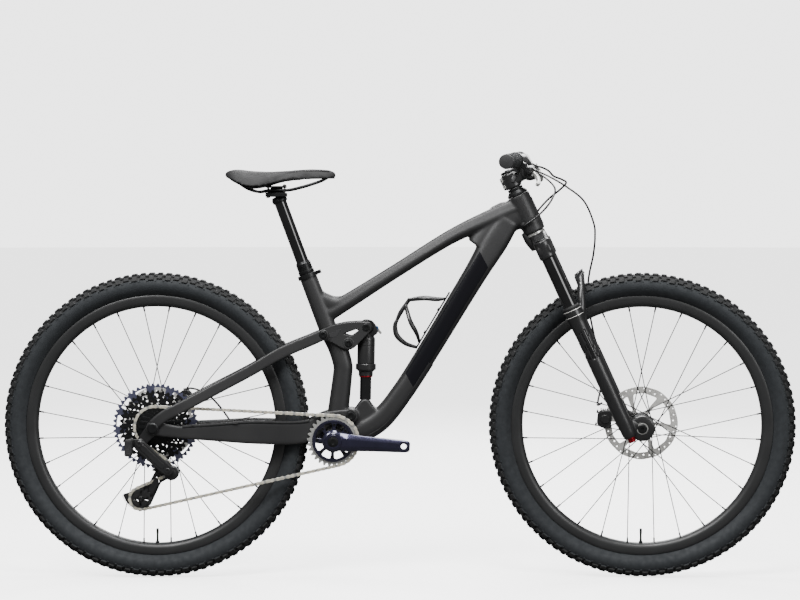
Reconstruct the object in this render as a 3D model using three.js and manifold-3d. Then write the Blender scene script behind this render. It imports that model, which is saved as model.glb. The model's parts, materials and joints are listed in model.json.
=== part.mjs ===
// Full-suspension mountain bike.
// Millimetres. +X points forward, +Y to the rider's left, +Z up. The origin is on the ground, midway
// between the two axles. The drive side is -Y. The fork and handlebar rest turned a few degrees right.
import * as THREE from 'three';
import { mergeVertices } from 'three/addons/utils/BufferGeometryUtils.js';
import Module from 'manifold-3d';

// ---------------------------------------------------------------- driving dimensions
const gap = 0.3;                    // between pieces that touch
const wheelbase = 1177;
const tyreRadius = 371;             // 29 inch wheel with a 2.4 inch tyre
const tyreHalfWidth = 30;
const rimOuter = 315.6;
const rimInner = 288;
const spokesPerSide = 14;
const spokeRadius = 1.1;
const spokeCrosses = 3;
const rotorRadius = 90;
const rotorThickness = 1.8;

const headTilt = THREE.MathUtils.degToRad(24.7);   // steering axis from the vertical
const steerRest = THREE.MathUtils.degToRad(-4.4);  // turned to the right, about the steering axis
const forkOffset = 40;              // front axle ahead of the steering axis
const legForward = 6;               // fork leg axis ahead of the steering axis
const legSide = 68;                 // fork leg axis from the centre plane
const sealHeight = 334;             // top of the fork lowers, along the steering axis
const crownHeight = 466;            // underside of the crown at the stanchions
const headLow = 535;                // lower end of the head tube, along the steering axis
const headHigh = 632;               // upper end of the head tube
const stemHeight = 672;             // handlebar clamp centre, along the steering axis
const stemReach = 50;
const barHalf = 385;

const bottomBracket = [-158, 337];  // X and Z of the crank axis
const crankLength = 170;
const crankTilt = THREE.MathUtils.degToRad(3.4);
const chainLine = -49;              // Y of the chain's centre plane
const chainHalfWidth = 2.6;
const chainHalfHeight = 4.2;
const ringPitchRadius = 60.75;      // 30 teeth
const cogPitchRadius = 48.65;       // the 24-tooth cog that the chain lies on
const guideWheel = { x: -572, z: 272, r: 22 };
const tensionWheel = { x: -623, z: 197, r: 27 };
const cagePivot = [-546, 262];
const linkUpper = [-620, 333];      // derailleur link pivots
const linkLower = [-553, 270];

const mainPivot = [-116, 396];      // chainstays on the frame
const rearAxle = [-wheelbase / 2, tyreRadius];
const stayPivot = [-182.5, 592.3];  // seatstays on the rocker
const rockerPivot = [-121.8, 571.2];
const shockUpper = [-79, 610];
const shockLower = [-82, 425];

const seatTubeTop = [-222, 735];    // X and Z of the seat tube's mouth
const postTilt = THREE.MathUtils.degToRad(20.3);
const postRadius = 15;
const postOuterRadius = 17.45;
const seatMouthRadius = 21;         // outside of the seat tube at its mouth
const postTop = 192;                // top of the sliding post, from the seat tube's mouth

const round = 12;                   // sides of a small turned piece
const wheelSides = 36;

// ---------------------------------------------------------------- materials
const finish = (colour, roughness, metalness) => new THREE.MeshStandardMaterial({
  color: colour, roughness, metalness,
});
const framePaint = finish(0x2e3236, 0.55, 0.2);
const blackMetal = finish(0x17181a, 0.4, 0.6);
const slateMetal = finish(0x34384a, 0.25, 0.8);
const silver = finish(0xb8b9ba, 0.3, 1);
const rubber = finish(0x1b1d20, 0.85, 0);
const gripRubber = finish(0x23262a, 0.8, 0);
const carbon = finish(0x1d1f22, 0.45, 0.1);
const hoseBlack = finish(0x151517, 0.5, 0);
const blueMetal = finish(0x2f6fb0, 0.35, 0.8);
const saddleCover = finish(0x2a2c2e, 0.75, 0);

// ---------------------------------------------------------------- solids
const wasm = await Module();
wasm.setup();

// Welds a geometry, drops flat triangles, and turns its faces outwards.
function closed(geometry) {
  const bare = geometry.clone();
  bare.deleteAttribute('normal');
  bare.deleteAttribute('uv');
  const welded = mergeVertices(bare, 1e-4);
  const place = welded.attributes.position;
  const kept = [];
  let volume = 0;
  const corners = [new THREE.Vector3(), new THREE.Vector3(), new THREE.Vector3()];
  for (let i = 0; i < welded.index.count; i += 3) {
    const ids = [0, 1, 2].map((k) => welded.index.getX(i + k));
    if (ids[0] === ids[1] || ids[1] === ids[2] || ids[2] === ids[0]) continue;
    ids.forEach((id, k) => corners[k].fromBufferAttribute(place, id));
    volume += corners[0].dot(corners[1].clone().cross(corners[2]));
    kept.push(ids);
  }
  const outward = volume < 0 ? kept.map(([a, b, c]) => [a, c, b]) : kept;
  welded.setIndex(outward.flat());
  return welded;
}

function toSolid(geometry) {
  const shape = closed(geometry);
  return new wasm.Manifold(new wasm.Mesh({
    numProp: 3,
    vertProperties: new Float32Array(shape.attributes.position.array),
    triVerts: new Uint32Array(shape.index.array),
  }));
}

function toGeometry(solid) {
  const mesh = solid.getMesh();
  const geometry = new THREE.BufferGeometry();
  geometry.setAttribute('position', new THREE.BufferAttribute(new Float32Array(mesh.vertProperties), 3));
  geometry.setIndex(Array.from(mesh.triVerts));
  return geometry;
}

const join = (...shapes) => toGeometry(shapes.map(toSolid).reduce((whole, next) => whole.add(next)));
const cut = (shape, ...tools) => toGeometry(
  tools.map(toSolid).reduce((whole, tool) => whole.subtract(tool), toSolid(shape)),
);
const mirrored = (geometry) => closed(geometry.clone().scale(1, -1, 1));

// ---------------------------------------------------------------- shape makers
const vec = (x, y, z) => new THREE.Vector3(x, y, z);

// A round bar between two points.
function rod(radius, from, to, sides = round) {
  const span = to.clone().sub(from);
  const bar = new THREE.CylinderGeometry(radius, radius, span.length(), sides);
  bar.applyQuaternion(new THREE.Quaternion().setFromUnitVectors(vec(0, 1, 0), span.clone().normalize()));
  const middle = from.clone().add(to).multiplyScalar(0.5);
  return bar.translate(middle.x, middle.y, middle.z);
}

// A round bar across the bike, along Y, at [x, z].
const crossRod = (radius, [x, z], y0, y1, sides = round) => rod(radius, vec(x, y0, z), vec(x, y1, z), sides);

function block(x0, x1, y0, y1, z0, z1) {
  const box = new THREE.BoxGeometry(x1 - x0, y1 - y0, z1 - z0);
  return box.translate((x0 + x1) / 2, (y0 + y1) / 2, (z0 + z1) / 2);
}

// A solid of revolution about the Y axis, from a closed outline of [radius, y].
function turnedRing(outline, sides) {
  const points = [...outline, outline[0]].map(([r, y]) => new THREE.Vector2(r, y));
  return new THREE.LatheGeometry(points, sides);
}

// A solid of revolution about the Y axis, from an outline that starts and ends on the axis.
function turnedBar(outline, sides) {
  return new THREE.LatheGeometry(outline.map(([r, y]) => new THREE.Vector2(r, y)), sides);
}

// A flat plate with its outline in X and Z and its faces at y0 and y1.
function plate(outline, y0, y1, holes = []) {
  const corners = outline.map(([x, z]) => new THREE.Vector2(x, z));
  if (THREE.ShapeUtils.isClockWise(corners)) corners.reverse();
  const shape = new THREE.Shape(corners);
  shape.holes = holes.map((hole) => new THREE.Path(hole.map(([x, z]) => new THREE.Vector2(x, z))));
  const body = new THREE.ExtrudeGeometry(shape, { depth: y1 - y0, bevelEnabled: false });
  return body.rotateX(Math.PI / 2).translate(0, y1, 0);
}

function circle([x, z], radius, sides) {
  const points = [];
  for (let i = 0; i < sides; i += 1) {
    const angle = (i / sides) * 2 * Math.PI;
    points.push([x + radius * Math.cos(angle), z + radius * Math.sin(angle)]);
  }
  return points;
}

// The outline round two circles, as a belt would lie on them.
function capsule(a, b, radiusA, radiusB, sides = 8) {
  const heading = Math.atan2(b[1] - a[1], b[0] - a[0]);
  const points = [];
  for (let i = 0; i <= sides; i += 1) {
    const angle = heading + Math.PI / 2 + (i / sides) * Math.PI;
    points.push([a[0] + radiusA * Math.cos(angle), a[1] + radiusA * Math.sin(angle)]);
  }
  for (let i = 0; i <= sides; i += 1) {
    const angle = heading - Math.PI / 2 + (i / sides) * Math.PI;
    points.push([b[0] + radiusB * Math.cos(angle), b[1] + radiusB * Math.sin(angle)]);
  }
  return points;
}

// A tapered bar through stations { at, tall, wide }. Its section is a rounded rectangle: square sets
// how square, from 2 for an ellipse upwards. "tall" is measured in the X-Z plane, "wide" across it.
function taperedBar(stations, sides = 12, square = 2.6) {
  const rings = stations.map(({ at, tall, wide }, i) => {
    const before = stations[Math.max(i - 1, 0)].at;
    const after = stations[Math.min(i + 1, stations.length - 1)].at;
    const along = after.clone().sub(before).normalize();
    const crossing = Math.abs(along.y) > 0.7;
    const up = crossing ? vec(0, 0, 1) : vec(-along.z, 0, along.x).normalize();
    const side = along.clone().cross(up).normalize();
    up.copy(side).cross(along).normalize();
    const ring = [];
    for (let k = 0; k < sides; k += 1) {
      const angle = ((k + 0.5) / sides) * 2 * Math.PI;
      const c = Math.cos(angle);
      const s = Math.sin(angle);
      const across = Math.sign(c) * Math.abs(c) ** (2 / square) * (wide / 2);
      const over = Math.sign(s) * Math.abs(s) ** (2 / square) * (tall / 2);
      ring.push(at.clone().addScaledVector(side, across).addScaledVector(up, over));
    }
    return ring;
  });
  const points = [stations[0].at, ...rings.flat(), stations[stations.length - 1].at];
  const index = [];
  const id = (ring, k) => 1 + ring * sides + (k % sides);
  for (let k = 0; k < sides; k += 1) {
    index.push(0, id(0, k + 1), id(0, k));
    index.push(points.length - 1, id(rings.length - 1, k), id(rings.length - 1, k + 1));
    for (let r = 0; r + 1 < rings.length; r += 1) {
      index.push(id(r, k), id(r, k + 1), id(r + 1, k + 1));
      index.push(id(r, k), id(r + 1, k + 1), id(r + 1, k));
    }
  }
  const geometry = new THREE.BufferGeometry().setFromPoints(points);
  geometry.setIndex(index);
  return closed(geometry);
}

// Stations given as [x, z, tall, wide, y].
const stationList = (rows) => rows.map(([x, z, tall, wide, y = 0]) => ({ at: vec(x, y, z), tall, wide }));

// A round cord or bent rod along a smooth curve through the points.
function cordAlong(points, radius, steps, sides = 6) {
  const curve = new THREE.CatmullRomCurve3(points.map(([x, y, z]) => vec(x, y, z)));
  const section = new THREE.Shape(circle([0, 0], radius, sides).map(([x, y]) => new THREE.Vector2(x, y)));
  return new THREE.ExtrudeGeometry(section, { steps, bevelEnabled: false, extrudePath: curve });
}

function part(name, geometry, material) {
  const mesh = new THREE.Mesh(closed(geometry), material);
  mesh.name = name;
  return mesh;
}

// ---------------------------------------------------------------- wheels
function tyre() {
  const w = tyreHalfWidth;
  const outline = [
    [tyreRadius, -0.45 * w], [tyreRadius, 0.45 * w], [tyreRadius - 13, 0.93 * w],
    [tyreRadius - 32, w], [rimOuter + gap, 0.55 * w], [rimOuter + gap, -0.55 * w],
    [tyreRadius - 32, -w], [tyreRadius - 13, -0.93 * w],
  ];
  return turnedRing(outline, wheelSides);
}

function rim() {
  const outline = [
    [rimOuter, -14.5], [rimOuter, 14.5], [rimInner + 11, 15], [rimInner, 6],
    [rimInner, -6], [rimInner + 11, -15],
  ];
  return turnedRing(outline, wheelSides);
}

// One side's spokes, laced three-cross. They touch where they cross.
function spokeNet(flangeY, rimY, flangeRadius, phase) {
  const pitch = (2 * Math.PI) / spokesPerSide;
  const lead = spokeCrosses * pitch;
  const spokes = [];
  for (let i = 0; i < spokesPerSide; i += 1) {
    const start = (i + phase) * pitch;
    const end = start + (i % 2 === 0 ? lead : -lead);
    const inner = flangeRadius + gap + spokeRadius;
    const outer = rimInner - 1.8;
    const from = vec(inner * Math.cos(start), flangeY, inner * Math.sin(start));
    const to = vec(outer * Math.cos(end), rimY, outer * Math.sin(end));
    spokes.push(rod(spokeRadius, from, to, 3));
  }
  return join(...spokes);
}

function rotor(boreRadius, y) {
  const windows = [];
  for (let i = 0; i < 6; i += 1) {
    const from = (i / 6) * 2 * Math.PI + 0.12;
    const to = ((i + 1) / 6) * 2 * Math.PI - 0.12;
    const inner = rotorRadius * 0.38;
    const outer = rotorRadius * 0.8;
    const at = (radius, angle) => [radius * Math.cos(angle), radius * Math.sin(angle)];
    const middle = (from + to) / 2;
    windows.push([at(inner, from), at(outer, from), at(outer, middle), at(outer, to), at(inner, to)]);
  }
  windows.push(circle([0, 0], boreRadius, round));
  return plate(circle([0, 0], rotorRadius, 30), y - rotorThickness / 2, y + rotorThickness / 2, windows);
}

const frontHubOutline = [
  [7.8, -54.5], [12, -54.5], [14, -42], [31, -33], [31, -28], [16, -22], [16, 26], [27, 30],
  [27, 34], [17, 38], [17, 48], [12, 50], [12, 54.5], [7.8, 54.5],
];
const rearHubOutline = [
  [6.3, -73.6], [10, -73.6], [10, -71.6], [17, -71.3], [17, -28], [28, -24], [28, -20], [18, -15],
  [18, 27], [28, 31], [28, 35], [17, 40], [17, 60], [10, 62], [10, 73.6], [6.3, 73.6],
];

function wheel(prefix, hubOutline, flanges, flangeRadii, rotorY) {
  const group = new THREE.Group();
  group.add(part(`${prefix}_tyre`, tyre(), rubber));
  group.add(part(`${prefix}_rim`, rim(), carbon));
  group.add(part(`${prefix}_hub`, turnedRing(hubOutline, 14), blackMetal));
  group.add(part(`${prefix}_spokes_right`, spokeNet(flanges[0], -4, flangeRadii[0], 0.25), blackMetal));
  group.add(part(`${prefix}_spokes_left`, spokeNet(flanges[1], 4, flangeRadii[1], 0.75), blackMetal));
  group.add(part(`${prefix}_rotor`, rotor(18, rotorY), silver));
  return group;
}

// ---------------------------------------------------------------- frame
const postAxis = vec(-Math.sin(postTilt), 0, Math.cos(postTilt));
const alongPost = (s) => vec(seatTubeTop[0], 0, seatTubeTop[1]).addScaledVector(postAxis, s);
const steerAxis = vec(-Math.sin(headTilt), 0, Math.cos(headTilt));
const steerForward = vec(Math.cos(headTilt), 0, Math.sin(headTilt));
const frontAxle = vec(wheelbase / 2, 0, tyreRadius);
const steerOrigin = frontAxle.clone().addScaledVector(steerForward, -forkOffset);
const alongSteer = (s) => steerOrigin.clone().addScaledVector(steerAxis, s);

function mainFrame() {
  const downTube = taperedBar(stationList([
    [262, 868, 60, 46], [232, 818, 66, 52], [190, 747, 57, 56], [141, 666, 54, 58], [71.5, 551, 52, 58],
    [11, 456, 51, 56], [-45, 386, 54, 50], [-120, 345, 56, 50], [-158, 337, 50, 50],
  ]));
  const topTube = taperedBar(stationList([
    [292, 903, 42, 44], [215, 870, 42, 47], [122, 826, 35, 45], [-8, 745, 33, 41],
    [-130, 668, 38, 38], [-180, 640, 46, 36],
  ]));
  const seatTube = taperedBar(stationList([
    [-217, 722, 42, 42], [-172, 605, 44, 42], [-150, 562, 47, 44], [-137, 520, 47, 46],
    [-137, 495, 47, 46], [-146, 420, 50, 48], [-158, 340, 50, 50],
  ]));
  const seatMouth = rod(seatMouthRadius, alongPost(-130), alongPost(0), 16);
  const headTube = rod(27, alongSteer(headLow), alongSteer(headHigh), 16);
  const shell = crossRod(29, bottomBracket, -40, 40, 16);
  const pivotBoss = crossRod(17, mainPivot, -26, 26, 14);
  const rockerBoss = crossRod(14, rockerPivot, -22, 22);
  const shockWeb = plate([
    [-125, 380], [-104, 418], [-90, 436], [-74, 436], [-62, 415], [-30, 400], [-60, 360],
  ], -21, 21);
  const tubes = [downTube, topTube, seatTube, headTube];
  const solid = join(...tubes, seatMouth, shell, pivotBoss, rockerBoss, shockWeb);
  return cut(
    solid,
    rod(postOuterRadius + gap, alongPost(-148), alongPost(1), 20),
    rod(15.6, alongSteer(headLow - 2), alongSteer(headHigh + 2), 16),
    crossRod(20 + gap, bottomBracket, -41, 41, 16),
    crossRod(7.5 + gap, mainPivot, -30, 30),
    crossRod(6 + gap, rockerPivot, -30, 30),
    crossRod(15, shockLower, -15, 15),
    block(-110, -50, -15, 15, 421, 440),
  );
}

function bottomBracketUnit() {
  const outline = [
    [12.2, -47], [24, -47], [24, -40 - gap], [20, -40 - gap],
    [20, 40 + gap], [24, 40 + gap], [24, 47], [12.2, 47],
  ];
  return turnedRing(outline, 16).translate(bottomBracket[0], 0, bottomBracket[1]);
}

// A pivot axle with a flat head at each end.
function pivotAxle(at, radius, headRadius, halfLength) {
  const outline = [
    [0, -halfLength], [headRadius, -halfLength], [headRadius, -halfLength + 3], [radius, -halfLength + 3],
    [radius, halfLength - 3], [headRadius, halfLength - 3], [headRadius, halfLength], [0, halfLength],
  ];
  return turnedBar(outline, round).translate(at[0], 0, at[1]);
}

// Turns a shape made along Y so that it lies along the seatpost, from its lower end.
function onPost(geometry, s) {
  geometry.applyQuaternion(new THREE.Quaternion().setFromUnitVectors(vec(0, 1, 0), postAxis));
  const foot = alongPost(s);
  return geometry.translate(foot.x, foot.y, foot.z);
}

function seatClamp() {
  const r = seatMouthRadius + gap;
  const bore = postOuterRadius + gap;
  const ring = onPost(turnedRing([
    [r, -7], [r + 3, -7], [r + 3, 3], [bore, 3], [bore, gap], [r, gap],
  ], 20), 0);
  const ear = block(-6, 10, -9, 9, -6, 3);
  ear.rotateY(-postTilt);
  const earAt = alongPost(0).add(vec(0.94, 0, 0.35).multiplyScalar(r + 5));
  ear.translate(earAt.x, earAt.y, earAt.z);
  return cut(
    join(ring, ear),
    rod(r, alongPost(-30), alongPost(gap), 20),
    rod(bore, alongPost(-5), alongPost(30), 20),
  );
}

function dropperOuter() {
  const bore = postRadius + gap;
  const outline = [
    [bore, -145], [postOuterRadius, -145], [postOuterRadius, 3 + gap], [19.3, 4], [19.3, 12],
    [18, 34], [bore, 34],
  ];
  return onPost(turnedRing(outline, 16), 0);
}

function dropperStanchion() {
  return rod(postRadius, alongPost(10), alongPost(postTop), 16);
}

function saddleClamp() {
  const cradle = block(-322, -272, -30, 30, 924, 934.5);
  const bridge = block(-312, -280, -15, 15, 930, 951);
  const cap = block(-312, -280, -29, 29, 946.5, 951);
  const head = rod(19, alongPost(187), alongPost(207), 16);
  return cut(
    join(head, cradle, bridge, cap),
    rod(postRadius + gap, alongPost(180), alongPost(postTop + gap), 16),
  );
}

function saddleRails() {
  return cordAlong([
    [-352, -30, 938], [-335, -24, 936], [-310, -22, 940.5], [-270, -22, 940.5], [-235, -20, 948],
    [-205, -14, 957], [-192, 0, 959], [-205, 14, 957], [-235, 20, 948], [-270, 22, 940.5],
    [-310, 22, 940.5], [-335, 24, 936], [-352, 30, 938],
  ], 3.5, 28, 5);
}

function saddle() {
  return taperedBar(stationList([
    [-420, 980, 10, 70], [-402, 977, 24, 124], [-358, 967.5, 31, 142], [-321, 969, 28, 128],
    [-276, 974, 22, 92], [-237, 977.5, 18, 64], [-199, 979.5, 19, 50], [-165, 981, 16, 42],
    [-152, 980.5, 9, 30],
  ]), 12, 2.4);
}

// The cage is made in a frame on the down tube: x away from the tube, z up along it.
function bottleCage() {
  const strip = block(0.5, 4, -9, 9, -78, 82);
  const hoop = (backHeight, frontHeight) => cordAlong([
    [3, -6, backHeight], [20, -33, backHeight * 0.75 + frontHeight * 0.25],
    [46, -38.5, (backHeight + frontHeight) / 2], [70, -22, frontHeight * 0.85 + backHeight * 0.15],
    [77, 0, frontHeight], [70, 22, frontHeight * 0.85 + backHeight * 0.15],
    [46, 38.5, (backHeight + frontHeight) / 2], [20, 33, backHeight * 0.75 + frontHeight * 0.25],
    [3, 6, backHeight],
  ], 3, 14, 4);
  const cup = cordAlong([[2, 0, -74], [30, 0, -80], [58, 0, -74], [74, 0, -56], [77, 0, -40]], 4, 6, 5);
  const brace = cordAlong([[77, 0, -42], [79, 0, -20], [77, 0, 14]], 3.5, 4, 5);
  const cage = join(strip, hoop(64, 14), hoop(-60, 2), cup, brace);
  const away = vec(-0.859, 0, 0.511);
  const tube = vec(0.511, 0, 0.859);
  const across = tube.clone().cross(away);
  const matrix = new THREE.Matrix4().makeBasis(away, across, tube);
  const seat = vec(106, 0, 608.5).addScaledVector(away, 27 + gap);
  return cage.applyMatrix4(matrix.setPosition(seat));
}

// ---------------------------------------------------------------- rear suspension
function chainstays() {
  const arm = (side) => taperedBar(stationList([
    [-588.5, 371, 34, 7, side * 82.9], [-562, 366, 32, 10, side * 82], [-520, 360, 30, 15, side * 74],
    [-440, 358, 42, 16, side * 58], [-360, 357, 54, 15, side * 47], [-260, 355, 55, 14, side * 43],
    [-216, 362, 48, 13, side * 39.5], [-170, 388, 36, 11, side * 33.2], [-116, 396, 33, 11, side * 32.3],
  ]), 8, 3);
  const eye = (side) => crossRod(17, mainPivot, side * 26.8, side * 37.8, 14);
  const dropout = (side) => crossRod(17, rearAxle, side * 79.4, side * 86.5, 14);
  const bridge = block(-206, -192, -42, 42, 364, 396);
  const spacer = crossRod(13, rearAxle, 74, 80);
  const solid = join(arm(-1), arm(1), eye(-1), eye(1), dropout(-1), dropout(1), bridge, spacer);
  return cut(
    solid,
    crossRod(7.5 + gap, mainPivot, -60, 60),
    crossRod(6 + gap, rearAxle, -100, 100),
    crossRod(40, rearAxle, -79.3, 73.7, 10),
    crossRod(40, rearAxle, 86.6, 120, 10),
    crossRod(40, rearAxle, -120, -86.6, 10),
  );
}

function rearAxleBar() {
  const outline = [
    [0, -96.5], [10, -96.5], [10, -93.4], [6, -93.4], [6, 93.4], [10, 93.4], [10, 96.5], [0, 96.5],
  ];
  return turnedBar(outline, round).translate(rearAxle[0], 0, rearAxle[1]);
}

function seatstay(side) {
  const arm = taperedBar(stationList([
    [-588.5, 378, 26, 6, side * 90], [-560, 401, 27, 7, side * 90], [-520, 421, 27, 11, side * 84],
    [-440, 463, 27, 15, side * 65], [-360, 505, 27, 16, side * 49], [-285, 548, 28, 14, side * 44],
    [-215, 578, 27, 11, side * 40], [-182.5, 592.3, 26, 10, side * 38.5],
  ]), 8, 2.8);
  const eye = crossRod(14, rearAxle, side * 86.9, side * 93, 14);
  const top = crossRod(13, stayPivot, side * 33.5, side * 43.5, 14);
  return cut(
    join(arm, eye, top),
    crossRod(6 + gap, rearAxle, side * 80, side * 100),
    crossRod(4.5, stayPivot, side * 25, side * 50),
  );
}

const caliperSlot = 3.4;

// A brake caliper over the edge of a rotor in the plane y = 0, its mid point out along +X.
function caliper(outerY) {
  const body = block(rotorRadius - 18, rotorRadius + 15, -13, outerY, -19, 19);
  return cut(body, block(rotorRadius - 30, rotorRadius + 4, -caliperSlot / 2, caliperSlot / 2, -30, 30));
}

const rearRotorY = 56.5;
const frontRotorY = 42.5;

function rearCaliper() {
  const shape = caliper(12);
  shape.rotateY(-THREE.MathUtils.degToRad(42));
  return shape.translate(rearAxle[0], rearRotorY, rearAxle[1]);
}

function rockerLink() {
  const outline = [
    [-196, 588], [-188, 604], [-160, 615], [-128, 622], [-95, 624], [-67, 622], [-66, 603], [-88, 580],
    [-108, 560], [-121, 554], [-135, 558], [-165, 575], [-186, 578],
  ];
  const window = [[-134, 594], [-100, 606], [-98, 600], [-115, 588]];
  const plates = [-1, 1].map((side) => plate(outline, side > 0 ? 23 : -31, side > 0 ? 31 : -23, [window]));
  const pin = crossRod(6, shockUpper, -24, 24);
  return cut(
    join(...plates, pin),
    crossRod(6 + gap, rockerPivot, -40, 40),
    crossRod(4.5, stayPivot, -40, 40),
  );
}

const shockAxis = vec(shockUpper[0] - shockLower[0], 0, shockUpper[1] - shockLower[1]).normalize();
function onShock(geometry) {
  geometry.applyQuaternion(new THREE.Quaternion().setFromUnitVectors(vec(0, 1, 0), shockAxis));
  return geometry.translate(shockLower[0], 0, shockLower[1]);
}

function shockShaft() {
  const shaft = onShock(turnedBar([[0, 8], [13, 8], [13.9, 12], [13.9, 98], [0, 98]], 14));
  const eye = crossRod(12, shockLower, -12, 12);
  return cut(join(shaft, eye), crossRod(4.5, shockLower, -20, 20));
}

const shockLength = Math.hypot(shockUpper[0] - shockLower[0], shockUpper[1] - shockLower[1]);

function shockAirCan() {
  const can = onShock(turnedBar([
    [0, 150], [14.3, 150], [14.3, 66], [17, 64], [21, 72], [21, 158], [12, 168], [12, shockLength - 8],
    [0, shockLength - 8],
  ], 16));
  const eye = crossRod(16, shockUpper, -14, 14, 14);
  return cut(join(can, eye), crossRod(11.5, shockUpper, -20, 20));
}

const lockoutPivot = [-55, 607];
function lockoutLever() {
  const boss = crossRod(5, lockoutPivot, -7, 7, 8);
  const arm = plate(capsule(lockoutPivot, [-45, 595], 3.5, 3), -6, 6);
  return join(boss, arm);
}

// ---------------------------------------------------------------- fork, in the steering frame
// x is forward of the steering axis, y to the left, z up along the axis; the front axle is at z = 0.
const legAt = (side, z) => vec(legForward, side * legSide, z);

function forkCrown() {
  const front = new THREE.Shape([
    [-88, 474], [-88, 500], [-62, 514], [-28, 530], [28, 530], [62, 514], [88, 500], [88, 474],
    [50, 474], [42, 498], [24, 505], [-24, 505], [-42, 498], [-50, 474],
  ].map(([y, z]) => new THREE.Vector2(y, z)));
  const slab = new THREE.ExtrudeGeometry(front, { depth: 38, bevelEnabled: false });
  slab.rotateX(Math.PI / 2).rotateZ(Math.PI / 2).translate(-14, 0, 0);
  const sockets = [-1, 1].map((side) => rod(21, legAt(side, crownHeight), legAt(side, 510), 14));
  const stanchions = [-1, 1].map((side) => rod(17.5, legAt(side, 190), legAt(side, 500), 14));
  const seat = rod(24, vec(0, 0, 526), vec(0, 0, headLow - gap), 16);
  const steerer = rod(14.3, vec(0, 0, 526), vec(0, 0, 690), 14);
  return join(slab, ...sockets, ...stanchions, seat, steerer);
}

function forkLowers() {
  const legs = [-1, 1].map((side) => rod(20.5, legAt(side, -8), legAt(side, sealHeight), 16));
  const feet = [-1, 1].map((side) => taperedBar([
    { at: vec(-4, side * 61.6, 44), tall: 22, wide: 13 },
    { at: vec(12, side * 61.6, 20), tall: 40, wide: 13 },
    { at: vec(forkOffset, side * 61.6, 0), tall: 36, wide: 13 },
    { at: vec(forkOffset + 15, side * 61.6, -9), tall: 14, wide: 11 },
  ], 10, 3));
  const arch = cordAlong([
    [legForward + 12, -66, 296], [34, -62, 338], [49, -46, 372], [55, -22, 390], [57, 0, 393],
    [55, 22, 390], [49, 46, 372], [34, 62, 338], [legForward + 12, 66, 296],
  ], 9.5, 14, 6);
  const bores = [-1, 1].map((side) => rod(17.5 + gap, legAt(side, 62), legAt(side, sealHeight + 5), 14));
  return cut(
    join(...legs, ...feet, arch),
    ...bores,
    crossRod(7.5 + gap, [forkOffset, 0], -100, 100),
    crossRod(34, [forkOffset, 0], -54.8, 54.8, 16),
  );
}

function frontAxleBar() {
  const outline = [
    [0, -72], [11, -72], [11, -68.6], [7.5, -68.6], [7.5, 68.6], [11, 68.6], [11, 71], [0, 71],
  ];
  return turnedBar(outline, round).translate(forkOffset, 0, 0);
}

function frontCaliper() {
  const shape = caliper(11);
  shape.rotateY(-THREE.MathUtils.degToRad(149));
  return shape.translate(forkOffset, frontRotorY, 0);
}

// ---------------------------------------------------------------- cockpit, in the steering frame
const barPath = [
  [stemReach, 0, stemHeight, 15.9], [stemReach, 30, stemHeight, 15.9],
  [stemReach + 1, 52, stemHeight + 4, 13.5],
  [stemReach + 1, 84, stemHeight + 22, 11.5], [stemReach, 112, stemHeight + 33, 11.1],
  [stemReach - 3, 150, stemHeight + 36, 11.1], [stemReach - 32, barHalf, stemHeight + 44, 11.1],
];
const barBend = vec(...barPath[5].slice(0, 3));
const barEnd = vec(...barPath[6].slice(0, 3));
const barHeading = barEnd.clone().sub(barBend).normalize();
const onBar = (y) => barBend.clone().lerp(barEnd, (y - barBend.y) / (barEnd.y - barBend.y));

function stem() {
  const column = rod(20, vec(0, 0, 652), vec(0, 0, 690), 16);
  const arm = block(0, stemReach, -19, 19, stemHeight - 14, stemHeight + 16);
  const barClamp = crossRod(22, [stemReach, stemHeight], -26, 26, 16);
  return cut(
    join(column, arm, barClamp),
    rod(14.3 + gap, vec(0, 0, 640), vec(0, 0, 690 + gap), 14),
    crossRod(16.9, [stemReach, stemHeight], -30, 30, 14),
  );
}

function handlebar() {
  const rightHalf = barPath.slice(1).reverse().map(([x, y, z, r]) => [x, -y, z, r]);
  const stations = [...rightHalf, ...barPath].map(([x, y, z, r]) => ({
    at: vec(x, y, z), tall: 2 * r, wide: 2 * r,
  }));
  return taperedBar(stations, 12, 2);
}

const gripStart = 248;
function gripLeft() {
  const length = (barHalf - gripStart) / barHeading.y;
  const shape = turnedBar([
    [0, length + 3], [16.5, length + 3], [17, length], [16, 20], [17.5, 8], [17.5, 0], [12, 0],
    [12, length + gap], [0, length + gap],
  ], round);
  shape.applyQuaternion(new THREE.Quaternion().setFromUnitVectors(vec(0, 1, 0), barHeading));
  const start = onBar(gripStart);
  return shape.translate(start.x, start.y, start.z);
}

// Moves a shape made as (reach, along the bar, upright) onto the left half of the bar at y. Reach is
// the direction away from the bar, given as an angle below the steering frame's x axis.
function barFrame(reachAngle, y) {
  const reach = vec(Math.cos(reachAngle), 0, -Math.sin(reachAngle));
  const out = barHeading.clone();
  const upright = reach.clone().cross(out).normalize();
  reach.copy(out).cross(upright).normalize();
  const matrix = new THREE.Matrix4().makeBasis(reach, out, upright);
  return matrix.setPosition(onBar(y));
}
const brakeFrame = barFrame(THREE.MathUtils.degToRad(65.7), 225);
const podFrame = barFrame(THREE.MathUtils.degToRad(127), 180);

function brakeBodyLeft() {
  const clampRing = rod(16, vec(0, -8, 0), vec(0, 8, 0), 14);
  const neck = block(10, 34, -8, 7, -7, 7);
  const cylinder = rod(9, vec(35, 8, 0), vec(35, -72, 0), 10);
  const lug = block(30, 56, -37, -23, -9, 9);
  const body = cut(join(clampRing, neck, cylinder, lug), block(40, 70, -50, -10, -5.5, 5.5));
  body.applyMatrix4(brakeFrame);
  const pod = block(13, 30, -20, 14, -9, 9);
  const podArm = block(12, 18, 0, 44, -6, 6);
  const remote = join(pod, podArm).applyMatrix4(podFrame);
  return cut(join(body, remote), rod(11.9, onBar(150), onBar(300), 12));
}

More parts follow.
